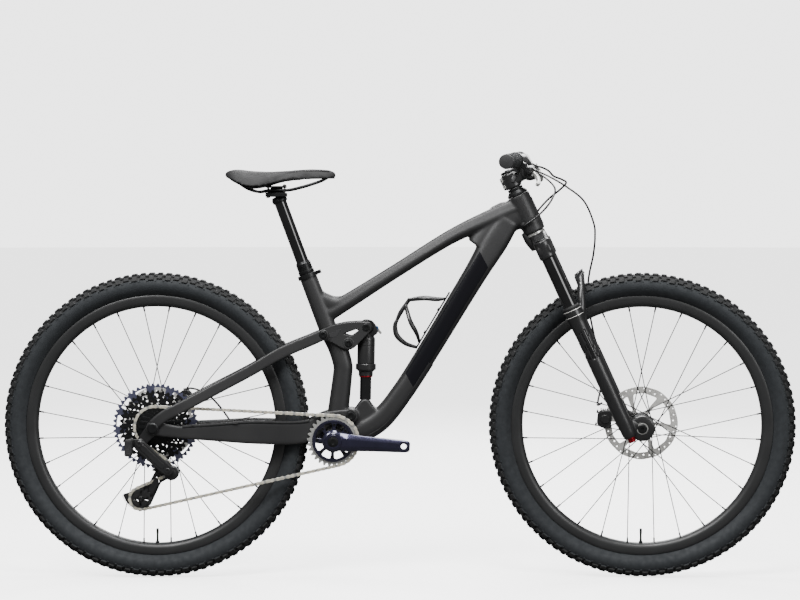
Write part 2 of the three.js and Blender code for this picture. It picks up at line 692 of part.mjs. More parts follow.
function brakeLeverLeft() {
  const outline = [
    [44, -36], [56, -36], [64, -18], [74, 12], [82, 52], [86, 84], [82, 92], [77, 88], [74, 54],
    [66, 16], [56, -12], [44, -22],
  ].map(([p, q]) => new THREE.Vector2(p, q));
  const blade = new THREE.ExtrudeGeometry(new THREE.Shape(outline), { depth: 9, bevelEnabled: false });
  return blade.translate(0, 0, -4.5).applyMatrix4(brakeFrame);
}

function paddleLeft() {
  const outline = [[31.5, -12], [38, -12], [44, 6], [56, 26], [54, 34], [46, 32], [36, 12], [33.5, 3]];
  const shape = new THREE.Shape(outline.map(([p, q]) => new THREE.Vector2(p, q)));
  const blade = new THREE.ExtrudeGeometry(shape, { depth: 10, bevelEnabled: false });
  return blade.translate(0, 0, -5).applyMatrix4(podFrame);
}

// ---------------------------------------------------------------- drivetrain
function crankArm(side) {
  const rows = [
    [-21, 26, 12, 69], [-10, 44, 16, 69], [28, 44, 17, 70], [80, 33, 15, 73], [150, 29, 13, 78],
    [177, 27, 12, 80], [185, 14, 10, 80],
  ];
  const bar = taperedBar(rows.map(([s, tall, wide, y]) => ({ at: vec(s, -y, 0), tall, wide })), 10, 3);
  bar.rotateY(crankTilt + (side > 0 ? Math.PI : 0));
  if (side > 0) bar.scale(1, -1, 1);
  return bar.translate(bottomBracket[0], 0, bottomBracket[1]);
}

const pedalEye = (side) => [
  bottomBracket[0] - side * crankLength * Math.cos(crankTilt),
  bottomBracket[1] + side * crankLength * Math.sin(crankTilt),
];

function crankRight() {
  const boss = crossRod(21, bottomBracket, -76, -47 - 2 * gap, 16);
  const spider = crossRod(50, bottomBracket, -60, -50.4, 20);
  const pedalBoss = crossRod(13.5, pedalEye(-1), -86.6, -74, 14);
  return cut(
    join(crankArm(-1), boss, spider, pedalBoss),
    crossRod(11.8 + gap, bottomBracket, -100, -40, 14),
    crossRod(7, pedalEye(-1), -100, -60),
  );
}

function crankLeft() {
  const boss = crossRod(21, bottomBracket, 47 + 2 * gap, 76, 16);
  const spindle = crossRod(11.8, bottomBracket, -74, 70, 14);
  const pedalBoss = crossRod(13.5, pedalEye(1), 74, 86.6, 14);
  return cut(join(crankArm(1), boss, spindle, pedalBoss), crossRod(7, pedalEye(1), 60, 100));
}

function chainring() {
  const outer = circle([0, 0], ringPitchRadius - chainHalfHeight - 1.2, 30);
  const ring = plate(outer, chainLine - 1.1, chainLine + 0.9, [circle([0, 0], 34, 16)]);
  return ring.translate(bottomBracket[0], 0, bottomBracket[1]);
}

function cassette() {
  const outline = [
    [17.4, -71], [21, -71], [22, -64], [33, -60], [34, -54], [cogPitchRadius - 4.8, -52],
    [cogPitchRadius - 4.8, -45.8], [56, -45.6], [58, -41], [73, -38.5], [76, -35], [102, -33.5],
    [102, -31], [60, -30], [30, -33], [17.4, -36],
  ];
  return turnedRing(outline, 16).translate(rearAxle[0], 0, rearAxle[1]);
}

function derailleurBase() {
  const ring = plate(capsule(rearAxle, linkUpper, 15, 12), -79, -74);
  const tongue = crossRod(12, linkUpper, -81.5, -74, 10);
  const shelf = block(-645, -620, -81.5, -74, 322, 344);
  const battery = block(-656, -637, -97, -74, 303, 346);
  return cut(join(ring, tongue, shelf, battery), crossRod(6 + gap, rearAxle, -90, -70));
}

function derailleurLink() {
  return plate(capsule(linkUpper, linkLower, 13, 14), -93, -85);
}

function derailleurKnuckle() {
  return crossRod(17, cagePivot, -81.5, -60, 14);
}

function derailleurCage() {
  const guide = [guideWheel.x, guideWheel.z];
  const tension = [tensionWheel.x, tensionWheel.z];
  const outline = [
    [-534, 262], [-538, 272], [-552, 274], [-572, 283], [-584, 276], [-588, 262], [-604, 232],
    [-640, 214], [-668, 207], [-658, 186], [-640, 171], [-618, 168], [-600, 180], [-574, 236], [-548, 250],
  ];
  const outer = plate(outline, -56.5, -54);
  const inner = plate(outline, -44, -42);
  const hub = crossRod(13, cagePivot, -59.4, -54, 10);
  const pins = [guide, tension].map((at) => crossRod(3, at, -56, -42, 8));
  return join(outer, inner, hub, ...pins);
}

function pulley({ x, z, r }) {
  const bore = circle([0, 0], 3 + gap, 8);
  const ring = plate(circle([0, 0], r - chainHalfHeight - gap, 16), -51.5, -46.5, [bore]);
  return ring.translate(x, 0, z);
}

// The chain runs round four wheels in turn. sense is 1 where it goes anticlockwise, seen from the
// drive side, and -1 where it goes clockwise.
const chainWheels = [
  { x: bottomBracket[0], z: bottomBracket[1], r: ringPitchRadius, sense: 1 },
  { x: rearAxle[0], z: rearAxle[1], r: cogPitchRadius, sense: 1 },
  { ...guideWheel, sense: -1 },
  { ...tensionWheel, sense: 1 },
];

function chainHeading(from, to) {
  const distance = Math.hypot(to.x - from.x, to.z - from.z);
  const direct = Math.atan2(to.z - from.z, to.x - from.x);
  return direct + Math.asin((from.sense * from.r - to.sense * to.r) / distance);
}

// The chain's line, moved outwards from its loop by offset.
function chainLoop(offset) {
  const points = [];
  chainWheels.forEach((wheelHere, i) => {
    const before = chainWheels[(i + 3) % 4];
    const after = chainWheels[(i + 1) % 4];
    const arriving = chainHeading(before, wheelHere);
    let leaving = chainHeading(wheelHere, after);
    const { x, z, r, sense } = wheelHere;
    while (sense * (leaving - arriving) < 0) leaving += sense * 2 * Math.PI;
    while (sense * (leaving - arriving) > 2 * Math.PI) leaving -= sense * 2 * Math.PI;
    const steps = Math.max(3, Math.ceil(Math.abs(leaving - arriving) / 0.3));
    const reach = r + sense * offset;
    for (let k = 0; k <= steps; k += 1) {
      const heading = arriving + ((leaving - arriving) * k) / steps;
      points.push([x + sense * reach * Math.sin(heading), z - sense * reach * Math.cos(heading)]);
    }
  });
  return points;
}

function chain() {
  const y0 = chainLine - chainHalfWidth;
  const y1 = chainLine + chainHalfWidth;
  return plate(chainLoop(chainHalfHeight), y0, y1, [chainLoop(-chainHalfHeight)]);
}

// ---------------------------------------------------------------- hoses
const rearBrakeHose = () => cordAlong([
  [371, -46, 974], [392, -30, 966], [404, 0, 958], [388, 22, 940], [366, 30, 922],
  [345, 28, 900], [333, 26, 884],
], 2.5, 16, 5);

const dropperCable = () => cordAlong([
  [330, 96, 990], [362, 60, 968], [378, 10, 944], [368, -24, 918], [350, -33, 894],
  [326, -33, 872], [306, -30, 858],
], 2.5, 16, 5);

const frontBrakeHose = () => cordAlong([
  [372, 120, 975], [410, 108, 952], [454, 96, 916], [478, 92, 863], [482, 92, 828], [478, 92, 783],
  [466, 95, 716], [470, 96, 640], [486, 95, 560], [500, 92, 480], [490, 78, 425], [486, 66, 410],
], 2.5, 30, 5);

// ---------------------------------------------------------------- the bicycle
const bicycle = new THREE.Group();
const fixed = (name, geometry, material) => bicycle.add(part(name, geometry, material));

fixed('main_frame', mainFrame(), framePaint);
fixed('bottom_bracket', bottomBracketUnit(), blackMetal);
fixed('main_pivot_axle', pivotAxle(mainPivot, 7.5, 12, 41.2), blackMetal);
fixed('rocker_pivot_axle', pivotAxle(rockerPivot, 6, 10, 34.4), blackMetal);
fixed('seat_clamp', seatClamp(), blackMetal);
fixed('bottle_cage', bottleCage(), carbon);
fixed('dropper_outer_tube', dropperOuter(), blackMetal);
fixed('dropper_sliding_post', dropperStanchion(), blackMetal);
fixed('saddle_clamp', saddleClamp(), blackMetal);
fixed('saddle_rails', saddleRails(), blackMetal);
fixed('saddle', saddle(), saddleCover);

fixed('chainstays', chainstays(), framePaint);
fixed('rear_axle', rearAxleBar(), blackMetal);
fixed('seatstay_right', seatstay(-1), framePaint);
fixed('seatstay_left', seatstay(1), framePaint);
fixed('rear_caliper', rearCaliper(), blackMetal);
fixed('rocker_link', rockerLink(), framePaint);
fixed('shock_shaft', shockShaft(), blackMetal);
fixed('shock_air_can', shockAirCan(), blackMetal);
fixed('shock_lockout_lever', lockoutLever(), blueMetal);

const rearWheel = wheel('rear', rearHubOutline, [-22, 33], [28, 28], rearRotorY);
rearWheel.position.set(rearAxle[0], 0, rearAxle[1]);
bicycle.add(rearWheel);

fixed('crank_right', crankRight(), slateMetal);
fixed('crank_left', crankLeft(), slateMetal);
fixed('chainring', chainring(), silver);
fixed('cassette', cassette(), blackMetal);
fixed('derailleur_base', derailleurBase(), blackMetal);
fixed('derailleur_link', derailleurLink(), blackMetal);
fixed('derailleur_knuckle', derailleurKnuckle(), blackMetal);
fixed('derailleur_cage', derailleurCage(), blackMetal);
fixed('guide_pulley', pulley(guideWheel), blackMetal);
fixed('tension_pulley', pulley(tensionWheel), blackMetal);
fixed('chain', chain(), silver);
fixed('rear_brake_hose', rearBrakeHose(), hoseBlack);
fixed('dropper_cable', dropperCable(), hoseBlack);
fixed('front_brake_hose', frontBrakeHose(), hoseBlack);

// Everything that steers hangs in a group whose z axis is the steering axis, turned to its rest angle.
const steering = new THREE.Group();
steering.position.copy(steerOrigin);
steering.rotation.y = -headTilt;
const turnedRight = new THREE.Group();
turnedRight.rotation.z = steerRest;
steering.add(turnedRight);
bicycle.add(steering);
const steered = (name, geometry, material) => turnedRight.add(part(name, geometry, material));

steered('fork_crown_and_stanchions', forkCrown(), blackMetal);
steered('fork_lowers', forkLowers(), carbon);
steered('front_axle', frontAxleBar(), blackMetal);
steered('front_caliper', frontCaliper(), blackMetal);
steered('stem', stem(), blackMetal);
steered('handlebar', handlebar(), carbon);
steered('grip_left', gripLeft(), gripRubber);
steered('grip_right', mirrored(gripLeft()), gripRubber);
steered('brake_body_left', brakeBodyLeft(), blackMetal);
steered('brake_body_right', mirrored(brakeBodyLeft()), blackMetal);
steered('brake_lever_left', brakeLeverLeft(), blackMetal);
steered('brake_lever_right', mirrored(brakeLeverLeft()), blackMetal);
steered('dropper_remote_lever', paddleLeft(), blackMetal);
steered('shift_paddle', mirrored(paddleLeft()), blackMetal);

const frontWheel = wheel('front', frontHubOutline, [-30.5, 32], [31, 27], frontRotorY);
frontWheel.position.set(forkOffset, 0, 0);
frontWheel.rotation.y = headTilt;   // keeps a corner of the tyre's outline at the ground
turnedRight.add(frontWheel);

bicycle.updateMatrixWorld(true);
export default bicycle;
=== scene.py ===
import json
import math

import bmesh
import bpy
from mathutils import Matrix, Vector
from mathutils.geometry import tessellate_polygon


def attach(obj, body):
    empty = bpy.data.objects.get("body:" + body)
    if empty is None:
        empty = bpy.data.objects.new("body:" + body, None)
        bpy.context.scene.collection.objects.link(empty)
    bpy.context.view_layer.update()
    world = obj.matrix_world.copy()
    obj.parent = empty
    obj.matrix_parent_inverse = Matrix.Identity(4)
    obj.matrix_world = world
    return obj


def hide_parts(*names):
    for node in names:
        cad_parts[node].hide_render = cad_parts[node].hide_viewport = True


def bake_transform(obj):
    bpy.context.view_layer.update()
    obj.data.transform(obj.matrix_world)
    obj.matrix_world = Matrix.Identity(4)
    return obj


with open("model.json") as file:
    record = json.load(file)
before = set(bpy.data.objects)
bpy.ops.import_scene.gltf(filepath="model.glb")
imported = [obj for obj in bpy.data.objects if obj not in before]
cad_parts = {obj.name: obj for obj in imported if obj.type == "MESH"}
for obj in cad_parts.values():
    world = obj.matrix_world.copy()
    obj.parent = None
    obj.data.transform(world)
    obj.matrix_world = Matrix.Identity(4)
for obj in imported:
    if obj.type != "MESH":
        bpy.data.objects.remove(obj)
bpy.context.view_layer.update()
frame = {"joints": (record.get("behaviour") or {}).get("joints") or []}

# All sizes are in millimetres. +X points forward, +Y to the rider's left and +Z up. piece() turns
# them into metres.
MM = 0.001
TAU = 2 * math.pi
JOINTS = {joint["name"]: joint for joint in frame["joints"]}


def pivot(joint):
    """A joint's place, from the frame."""
    return Vector(JOINTS[joint]["pos_m"]) / MM


# ------------------------------------------------------------------ places, from the frame
REAR_AXLE = pivot("rear_wheel_spin")
FRONT_AXLE = pivot("front_wheel_spin")
CRANK = pivot("crank_spin")
MAIN_PIVOT = pivot("swingarm_pivot")
ROCKER_PIVOT = pivot("rocker_pivot")
SHOCK_FOOT = pivot("shock_tilt")
SHOCK_AXIS = -Vector(JOINTS["shock_stroke"]["axis"])
SHOCK_LENGTH = 185
SHOCK_HEAD = SHOCK_FOOT + SHOCK_AXIS * SHOCK_LENGTH
STAY_PIVOT = Vector((-182.5, 0, 592.3))
LOCKOUT = pivot("lockout_turn")
GUIDE = pivot("guide_pulley_spin")
TENSION = pivot("tension_pulley_spin")
CAGE_PIVOT = pivot("cage_swing")
LINK_UPPER = pivot("shift_swing")
LINK_LOWER = pivot("knuckle_swing")
POST_AXIS = Vector(JOINTS["seatpost_drop"]["axis"])
POST_MOUTH = Vector((-222, 0, 735))

# The steering frame: x ahead of the steering axis, y along the front axle, z up the axis, and the
# front axle at z = 0.
STEER_UP = Vector(JOINTS["steering"]["axis"])
STEER_SIDE = Vector(JOINTS["front_wheel_spin"]["axis"])
STEER_AHEAD = STEER_SIDE.cross(STEER_UP).normalized()
STEER = Matrix((STEER_AHEAD, STEER_SIDE, STEER_UP)).transposed().to_4x4()
STEER.translation = pivot("steering")

# ------------------------------------------------------------------ sizes
TYRE_RADIUS = 371
KNOB_HEIGHT = 4.5
CARCASS_CENTRE = 341
CARCASS_DEPTH = TYRE_RADIUS - KNOB_HEIGHT - CARCASS_CENTRE
CARCASS_HALF = 28.2
KNOB_PITCHES = 110
RIM_OUTER = 315.6
RIM_INNER = 288
SPOKES_PER_SIDE = 14
SPOKE_CROSSES = 3
ROTOR_RADIUS = 90
CHAIN_PITCH = 12.7
CHAIN_Y = -49
PEDAL_REACH = 170
COG_TEETH = (10, 12, 14, 16, 18, 21, 24, 28, 32, 36, 42, 50)
COG_STEP = 3.62
CHAIN_COG = 24
RING_TEETH = 30
FORK_OFFSET = 40
LEG_AHEAD = 6
LEG_SIDE = 68
SEAL_HEIGHT = 334
CROWN_HEIGHT = 466
HEAD_LOW = 535
HEAD_HIGH = 632
STEM_HEIGHT = 672
STEM_REACH = 50
BAR_HALF = 385
FRONT_WHEEL_TURN = 24.7
CRANK_TURN = 3.4
FRONT_ROTOR_Y = 42.5
REAR_ROTOR_Y = 56.5
FRONT_CALIPER_TURN = -149
REAR_CALIPER_TURN = -42
SPOKE_RADIUS = 1.2
NIPPLE_RADIUS = 2.1
NIPPLE_LENGTH = 13.5
HOSE_RADIUS = 2.5
POST_RADIUS = 15
STANCHION_RADIUS = 17.5
HEAD_TUBE_RADIUS = 27
BRACKET_RADIUS = 29
MAIN_BORE = 7.8
AXLE_BORE = 6.3
STAY_BORE = 4.5
CUT_HALF = 110


# ------------------------------------------------------------------ outlines
def rounded(corners, radius, steps=3):
    """A closed outline with its corners rounded."""
    outline = []
    corners = [Vector(c) for c in corners]
    for i, corner in enumerate(corners):
        back = corners[i - 1] - corner
        ahead = corners[(i + 1) % len(corners)] - corner
        start = corner + back.normalized() * min(radius, 0.45 * back.length)
        end = corner + ahead.normalized() * min(radius, 0.45 * ahead.length)
        for k in range(steps + 1):
            t = k / steps
            outline.append((1 - t) ** 2 * start + 2 * t * (1 - t) * corner + t * t * end)
    return outline


def circle(centre, radius, sides=32):
    """A round outline."""
    x, z = centre
    angles = [TAU * i / sides for i in range(sides)]
    return [Vector((x + radius * math.cos(a), z + radius * math.sin(a))) for a in angles]


def oval_point(angle, square):
    """A point on a section one wide and one high. square is 2 for an ellipse and more for a rounder box."""
    return Vector([math.copysign(abs(c) ** (2 / square), c) / 2 for c in (math.cos(angle), math.sin(angle))])


def oval(square, sides=32):
    """An oval section of evenly turned points."""
    return [oval_point(TAU * (i + 0.5) / sides, square) for i in range(sides)]


def belt(a, b, radius_a, radius_b):
    """The outline round two circles."""
    sides = 14
    a, b = Vector(a), Vector(b)
    heading = math.atan2(b.y - a.y, b.x - a.x)
    outline = []
    for centre, radius, turn in ((a, radius_a, math.pi / 2), (b, radius_b, -math.pi / 2)):
        for i in range(sides + 1):
            angle = heading + turn + math.pi * i / sides
            outline.append(centre + radius * Vector((math.cos(angle), math.sin(angle))))
    return outline


def gear(teeth, root, tip, share):
    """A toothed outline about the origin. share is how much of the pitch a tooth's tip takes."""
    outline = []
    for i in range(teeth):
        for at, radius in ((-0.42, root), (-share / 2, tip), (share / 2, tip), (0.42, root)):
            angle = TAU * (i + at) / teeth
            outline.append(Vector((radius * math.cos(angle), radius * math.sin(angle))))
    return outline


def windows(count, inner, outer, share=0.62, phase=0.0, corner=4):
    """Rounded openings round the origin, each between two radii."""
    loops = []
    for i in range(count):
        a, b = TAU * (i + phase - share / 2) / count, TAU * (i + phase + share / 2) / count
        mid = (a + b) / 2
        corners = [(r * math.cos(t), r * math.sin(t)) for r, t in
                   ((inner, a), (outer, a), (outer, mid), (outer, b), (inner, b), (inner, mid))]
        loops.append(rounded(corners, corner, 3))
    return loops


# ------------------------------------------------------------------ solids: (points, faces)
def skin(rings, ends=True, loop=False):
    """Faces over equal rings of points."""
    n = len(rings[0])
    points = [p for ring in rings for p in ring]
    faces = []
    for r in range(len(rings) if loop else len(rings) - 1):
        s = (r + 1) % len(rings)
        for k in range(n):
            j = (k + 1) % n
            faces.append((r * n + k, r * n + j, s * n + j, s * n + k))
    if ends and not loop:
        faces.append(tuple(reversed(range(n))))
        faces.append(tuple(range((len(rings) - 1) * n, len(rings) * n)))
    return points, faces


def smooth(rows, steps):
    """Rows of numbers with a smooth curve's rows put between them."""
    rows = [list(map(float, row)) for row in rows]
    made = []
    for i in range(len(rows) - 1):
        p0, p1 = rows[max(i - 1, 0)], rows[i]
        p2, p3 = rows[i + 1], rows[min(i + 2, len(rows) - 1)]
        for k in range(steps):
            t = k / steps
            made.append([0.5 * (2 * b + (c - a) * t + (2 * a - 5 * b + 4 * c - d) * t * t
                                + (3 * b - a - 3 * c + d) * t ** 3) for a, b, c, d in zip(p0, p1, p2, p3)])
    return made + [rows[-1]]


def heading_at(centres, i):
    """The direction of a row of points at one of them."""
    return (centres[min(i + 1, len(centres) - 1)] - centres[max(i - 1, 0)]).normalized()


def sweep(rows, section, steps=5):
    """A bar through rows [x, z, tall, wide, y]."""
    rows = smooth([(list(row) + [0])[:5] for row in rows], steps)
    centres = [Vector((x, y, z)) for x, z, _, _, y in rows]
    rings = []
    for i, (_, _, tall, wide, _) in enumerate(rows):
        along = heading_at(centres, i)
        up = Vector((-along.z, 0, along.x)).normalized()
        side = along.cross(up).normalized()
        up = side.cross(along)
        rings.append([centres[i] + side * u * wide + up * v * tall for u, v in section])
    return skin(rings)


def tube(points, radius, sides, steps):
    """A round bar along a smooth curve. radius is one number, or one for each point."""
    radii = radius if isinstance(radius, (list, tuple)) else [radius] * len(points)
    rows = smooth([[*p, r] for p, r in zip(points, radii)], steps)
    centres = [Vector(row[:3]) for row in rows]
    side = heading_at(centres, 0).orthogonal().normalized()
    rings = []
    for i, centre in enumerate(centres):
        along = heading_at(centres, i)
        side = (side - along * side.dot(along)).normalized()
        other = along.cross(side)
        rings.append([centre + rows[i][3] * (side * math.cos(TAU * k / sides)
                                             + other * math.sin(TAU * k / sides)) for k in range(sides)])
    return skin(rings)


def turned(profile, sides=48):
    """A solid of revolution about Y, from [radius, y]. Its profile closes, or starts and ends on the axis."""
    rings = []
    for r, y in profile:
        rings.append([Vector((r * math.cos(TAU * k / sides), y, r * math.sin(TAU * k / sides)))
                      for k in range(sides)])
    return skin(rings, ends=False, loop=profile[0][0] > 0)


def grown(loop, distance):
    """The closed outline moved outwards."""
    area = sum(loop[i - 1].x * p.y - p.x * loop[i - 1].y for i, p in enumerate(loop))
    sign = 1 if area > 0 else -1
    made = []
    for i, p in enumerate(loop):
        a, b = loop[i - 1], loop[(i + 1) % len(loop)]
        along = (b - a).normalized() if (b - a).length > 0 else Vector((1, 0))
        made.append(p + sign * distance * Vector((along.y, -along.x)))
    return made


def plate(outline, y0, y1, holes=(), chamfer=0.6):
    """A flat plate with its outline in X and Z, holes through it and chamfered edges."""
    loops = [[Vector(p) for p in loop] for loop in (outline, *holes)]
    inset = [grown(loop, chamfer if k else -chamfer) for k, loop in enumerate(loops)]
    flat = [Vector((p.x, p.y, 0)) for loop in inset for p in loop]
    triangles = tessellate_polygon([[Vector((p.x, p.y, 0)) for p in loop] for loop in inset])
    full = [p for loop in loops for p in loop]
    n = len(flat)
    points = [Vector((p.x, y0, p.y)) for p in flat]
    points += [Vector((p.x, y0 + chamfer, p.y)) for p in full]
    points += [Vector((p.x, y1 - chamfer, p.y)) for p in full]
    points += [Vector((p.x, y1, p.y)) for p in flat]
    faces = [tuple(t) for t in triangles] + [tuple(3 * n + i for i in reversed(t)) for t in triangles]
    start = 0
    for loop in loops:
        for k in range(len(loop)):
            a, b = start + k, start + (k + 1) % len(loop)
            for layer in (0, n, 2 * n):
                faces.append((layer + a, layer + b, layer + n + b, layer + n + a))
        start += len(loop)
    return points, faces


def slab(corners, radius, y0, y1, holes=(), chamfer=0.6):
    """A plate whose outline has rounded corners."""
    return plate(rounded(corners, radius), y0, y1, holes, chamfer)


def block(x0, x1, y0, y1, z0, z1, chamfer=1.0):
    """A chamfered box."""
    return plate([(x0, z0), (x1, z0), (x1, z1), (x0, z1)], y0, y1, chamfer=chamfer)


def moved(shape, matrix):
    """A shape put through a matrix."""
    points, faces = shape
    return [matrix @ Vector(p) for p in points], faces


def mirrored(shape):
    """A shape on the bike's other side."""
    points, faces = shape
    return [Vector((p[0], -p[1], p[2])) for p in points], [tuple(reversed(f)) for f in faces]


def at(x, y, z):
    """A move."""
    return Matrix.Translation((x, y, z))


def turned_by(degrees):
    """A turn about Y."""
    return Matrix.Rotation(math.radians(degrees), 4, "Y")


def facing(place, axis):
    """The matrix that puts a shape made along Y at place, pointing along axis."""
    turn = Vector((0, 1, 0)).rotation_difference(Vector(axis).normalized()).to_matrix().to_4x4()
    return Matrix.Translation(place) @ turn


def rod(radius, a, b, sides=24, edge=0.6):
    """A round bar from a to b with softened ends."""
    a, b = Vector(a), Vector(b)
    h = (b - a).length
    profile = [(0, 0), (radius - edge, 0), (radius, edge), (radius, h - edge), (radius - edge, h), (0, h)]
    return moved(turned(profile, sides), facing(a, b - a))


def button(place, axis, radius, rim, top, height, sides):
    """A round head standing on place: radius wide up to rim, then narrowing to top at its full height."""
    profile = [(0, 0), (radius, 0), (radius, rim), (top, height), (0, height)]
    return moved(turned(profile, sides), facing(place, axis))


def screw(place, axis, radius, height, key=None):
    """A bolt's head with a hexagon socket, standing on place."""
    key = key or radius * 0.5
    sides = 24
    rings = []
    for r, y, hexagon in ((radius, 0, 0), (radius, height * 0.7, 0), (radius * 0.86, height, 0),
                          (key * 1.08, height, 1), (key, height - 0.4, 1), (key, height * 0.25, 1)):
        ring = []
        for k in range(sides):
            angle = TAU * k / sides
            reach = r / math.cos((angle + TAU / 12) % (TAU / 6) - TAU / 12) if hexagon else r
            ring.append(Vector((reach * math.cos(angle), y, reach * math.sin(angle))))
        rings.append(ring)
    return moved(skin(rings), facing(place, axis))


# ------------------------------------------------------------------ pieces
def new_object(name, shapes, place=None):
    """One Blender object from shapes in millimetres."""
    points, faces = [], []
    for shape_points, shape_faces in shapes:
        start = len(points)
        points += [MM * (place @ Vector(p) if place else Vector(p)) for p in shape_points]
        faces += [tuple(start + i for i in face) for face in shape_faces]
    mesh = bpy.data.meshes.new(name)
    mesh.from_pydata(points, [], faces)
    made = bpy.data.objects.new(name, mesh)
    bpy.context.scene.collection.objects.link(made)
    return made


def tidy_mesh(mesh, bevel=0.0, sharp=36):
    """Welds, turns the faces outwards, bevels the edges and marks the sharp ones."""
    build = bmesh.new()
    build.from_mesh(mesh)
    bmesh.ops.remove_doubles(build, verts=build.verts, dist=1e-6)
    bmesh.ops.dissolve_degenerate(build, edges=build.edges, dist=1e-7)
    bmesh.ops.recalc_face_normals(build, faces=build.faces)
    if bevel:
        edges = [e for e in build.edges if e.is_manifold and e.calc_face_angle(0) > math.radians(sharp)]
        bmesh.ops.bevel(build, geom=edges, offset=bevel * MM, segments=2, profile=0.6,
                        affect="EDGES", clamp_overlap=True)
    build.to_mesh(mesh)
    build.free()
    mesh.polygons.foreach_set("use_smooth", [True] * len(mesh.polygons))
    mesh.set_sharp_from_angle(angle=math.radians(sharp))


def dress(made, finish, body, replaces=(), bend=None):
    """Gives an object its finish's material and hides the parts it replaces. It goes on its body, unless it
    is given a bend: then its place is baked into its mesh and it goes on no body.
    """
    material, slot = finish
    made.data.materials.clear()
    made.data.materials.append(material)
    if bend:
        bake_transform(made)
    else:
        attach(made, body)
    if replaces:
        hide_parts(*replaces)
    return made


def piece(name, shapes, finish, body, replaces=(), place=None, sharp=30, bend=None, origin=None):
    """One finished object. origin is where its own coordinates start, for materials that go round it."""
    made = new_object(name, shapes, place)
    tidy_mesh(made.data, sharp=sharp)
    if origin is not None:
        own = Matrix.Scale(MM, 4) @ origin @ Matrix.Scale(1 / MM, 4)
        made.data.transform(own.inverted())
        made.matrix_world = own
    return dress(made, finish, body, replaces, bend)


def applied(made):
    """Turns an object's modifiers into its mesh."""
    view = bpy.context.evaluated_depsgraph_get()
    mesh = bpy.data.meshes.new_from_object(made.evaluated_get(view))
    made.modifiers.clear()
    made.data = mesh
    return mesh


def fused(made, voxel, passes, cutters=()):
    """Melts an object's overlapping solids into one smooth skin, if voxel isn't 0, then cuts it."""
    if voxel:
        melt = made.modifiers.new("melt", "REMESH")
        melt.mode = "VOXEL"
        melt.voxel_size = voxel * MM
        ease = made.modifiers.new("ease", "SMOOTH")
        ease.factor = 0.5
        ease.iterations = passes
    tool = None
    if cutters:
        tool = new_object(made.name + "_cut", cutters)
        tidy_mesh(tool.data)
        bore = made.modifiers.new("bore", "BOOLEAN")
        bore.operation = "DIFFERENCE"
        bore.object = tool
        bore.solver = "EXACT"
    mesh = applied(made)
    if tool:
        bpy.data.objects.remove(tool)
    mesh.polygons.foreach_set("use_smooth", [True] * len(mesh.polygons))
    mesh.set_sharp_from_angle(angle=math.radians(40))
    return made


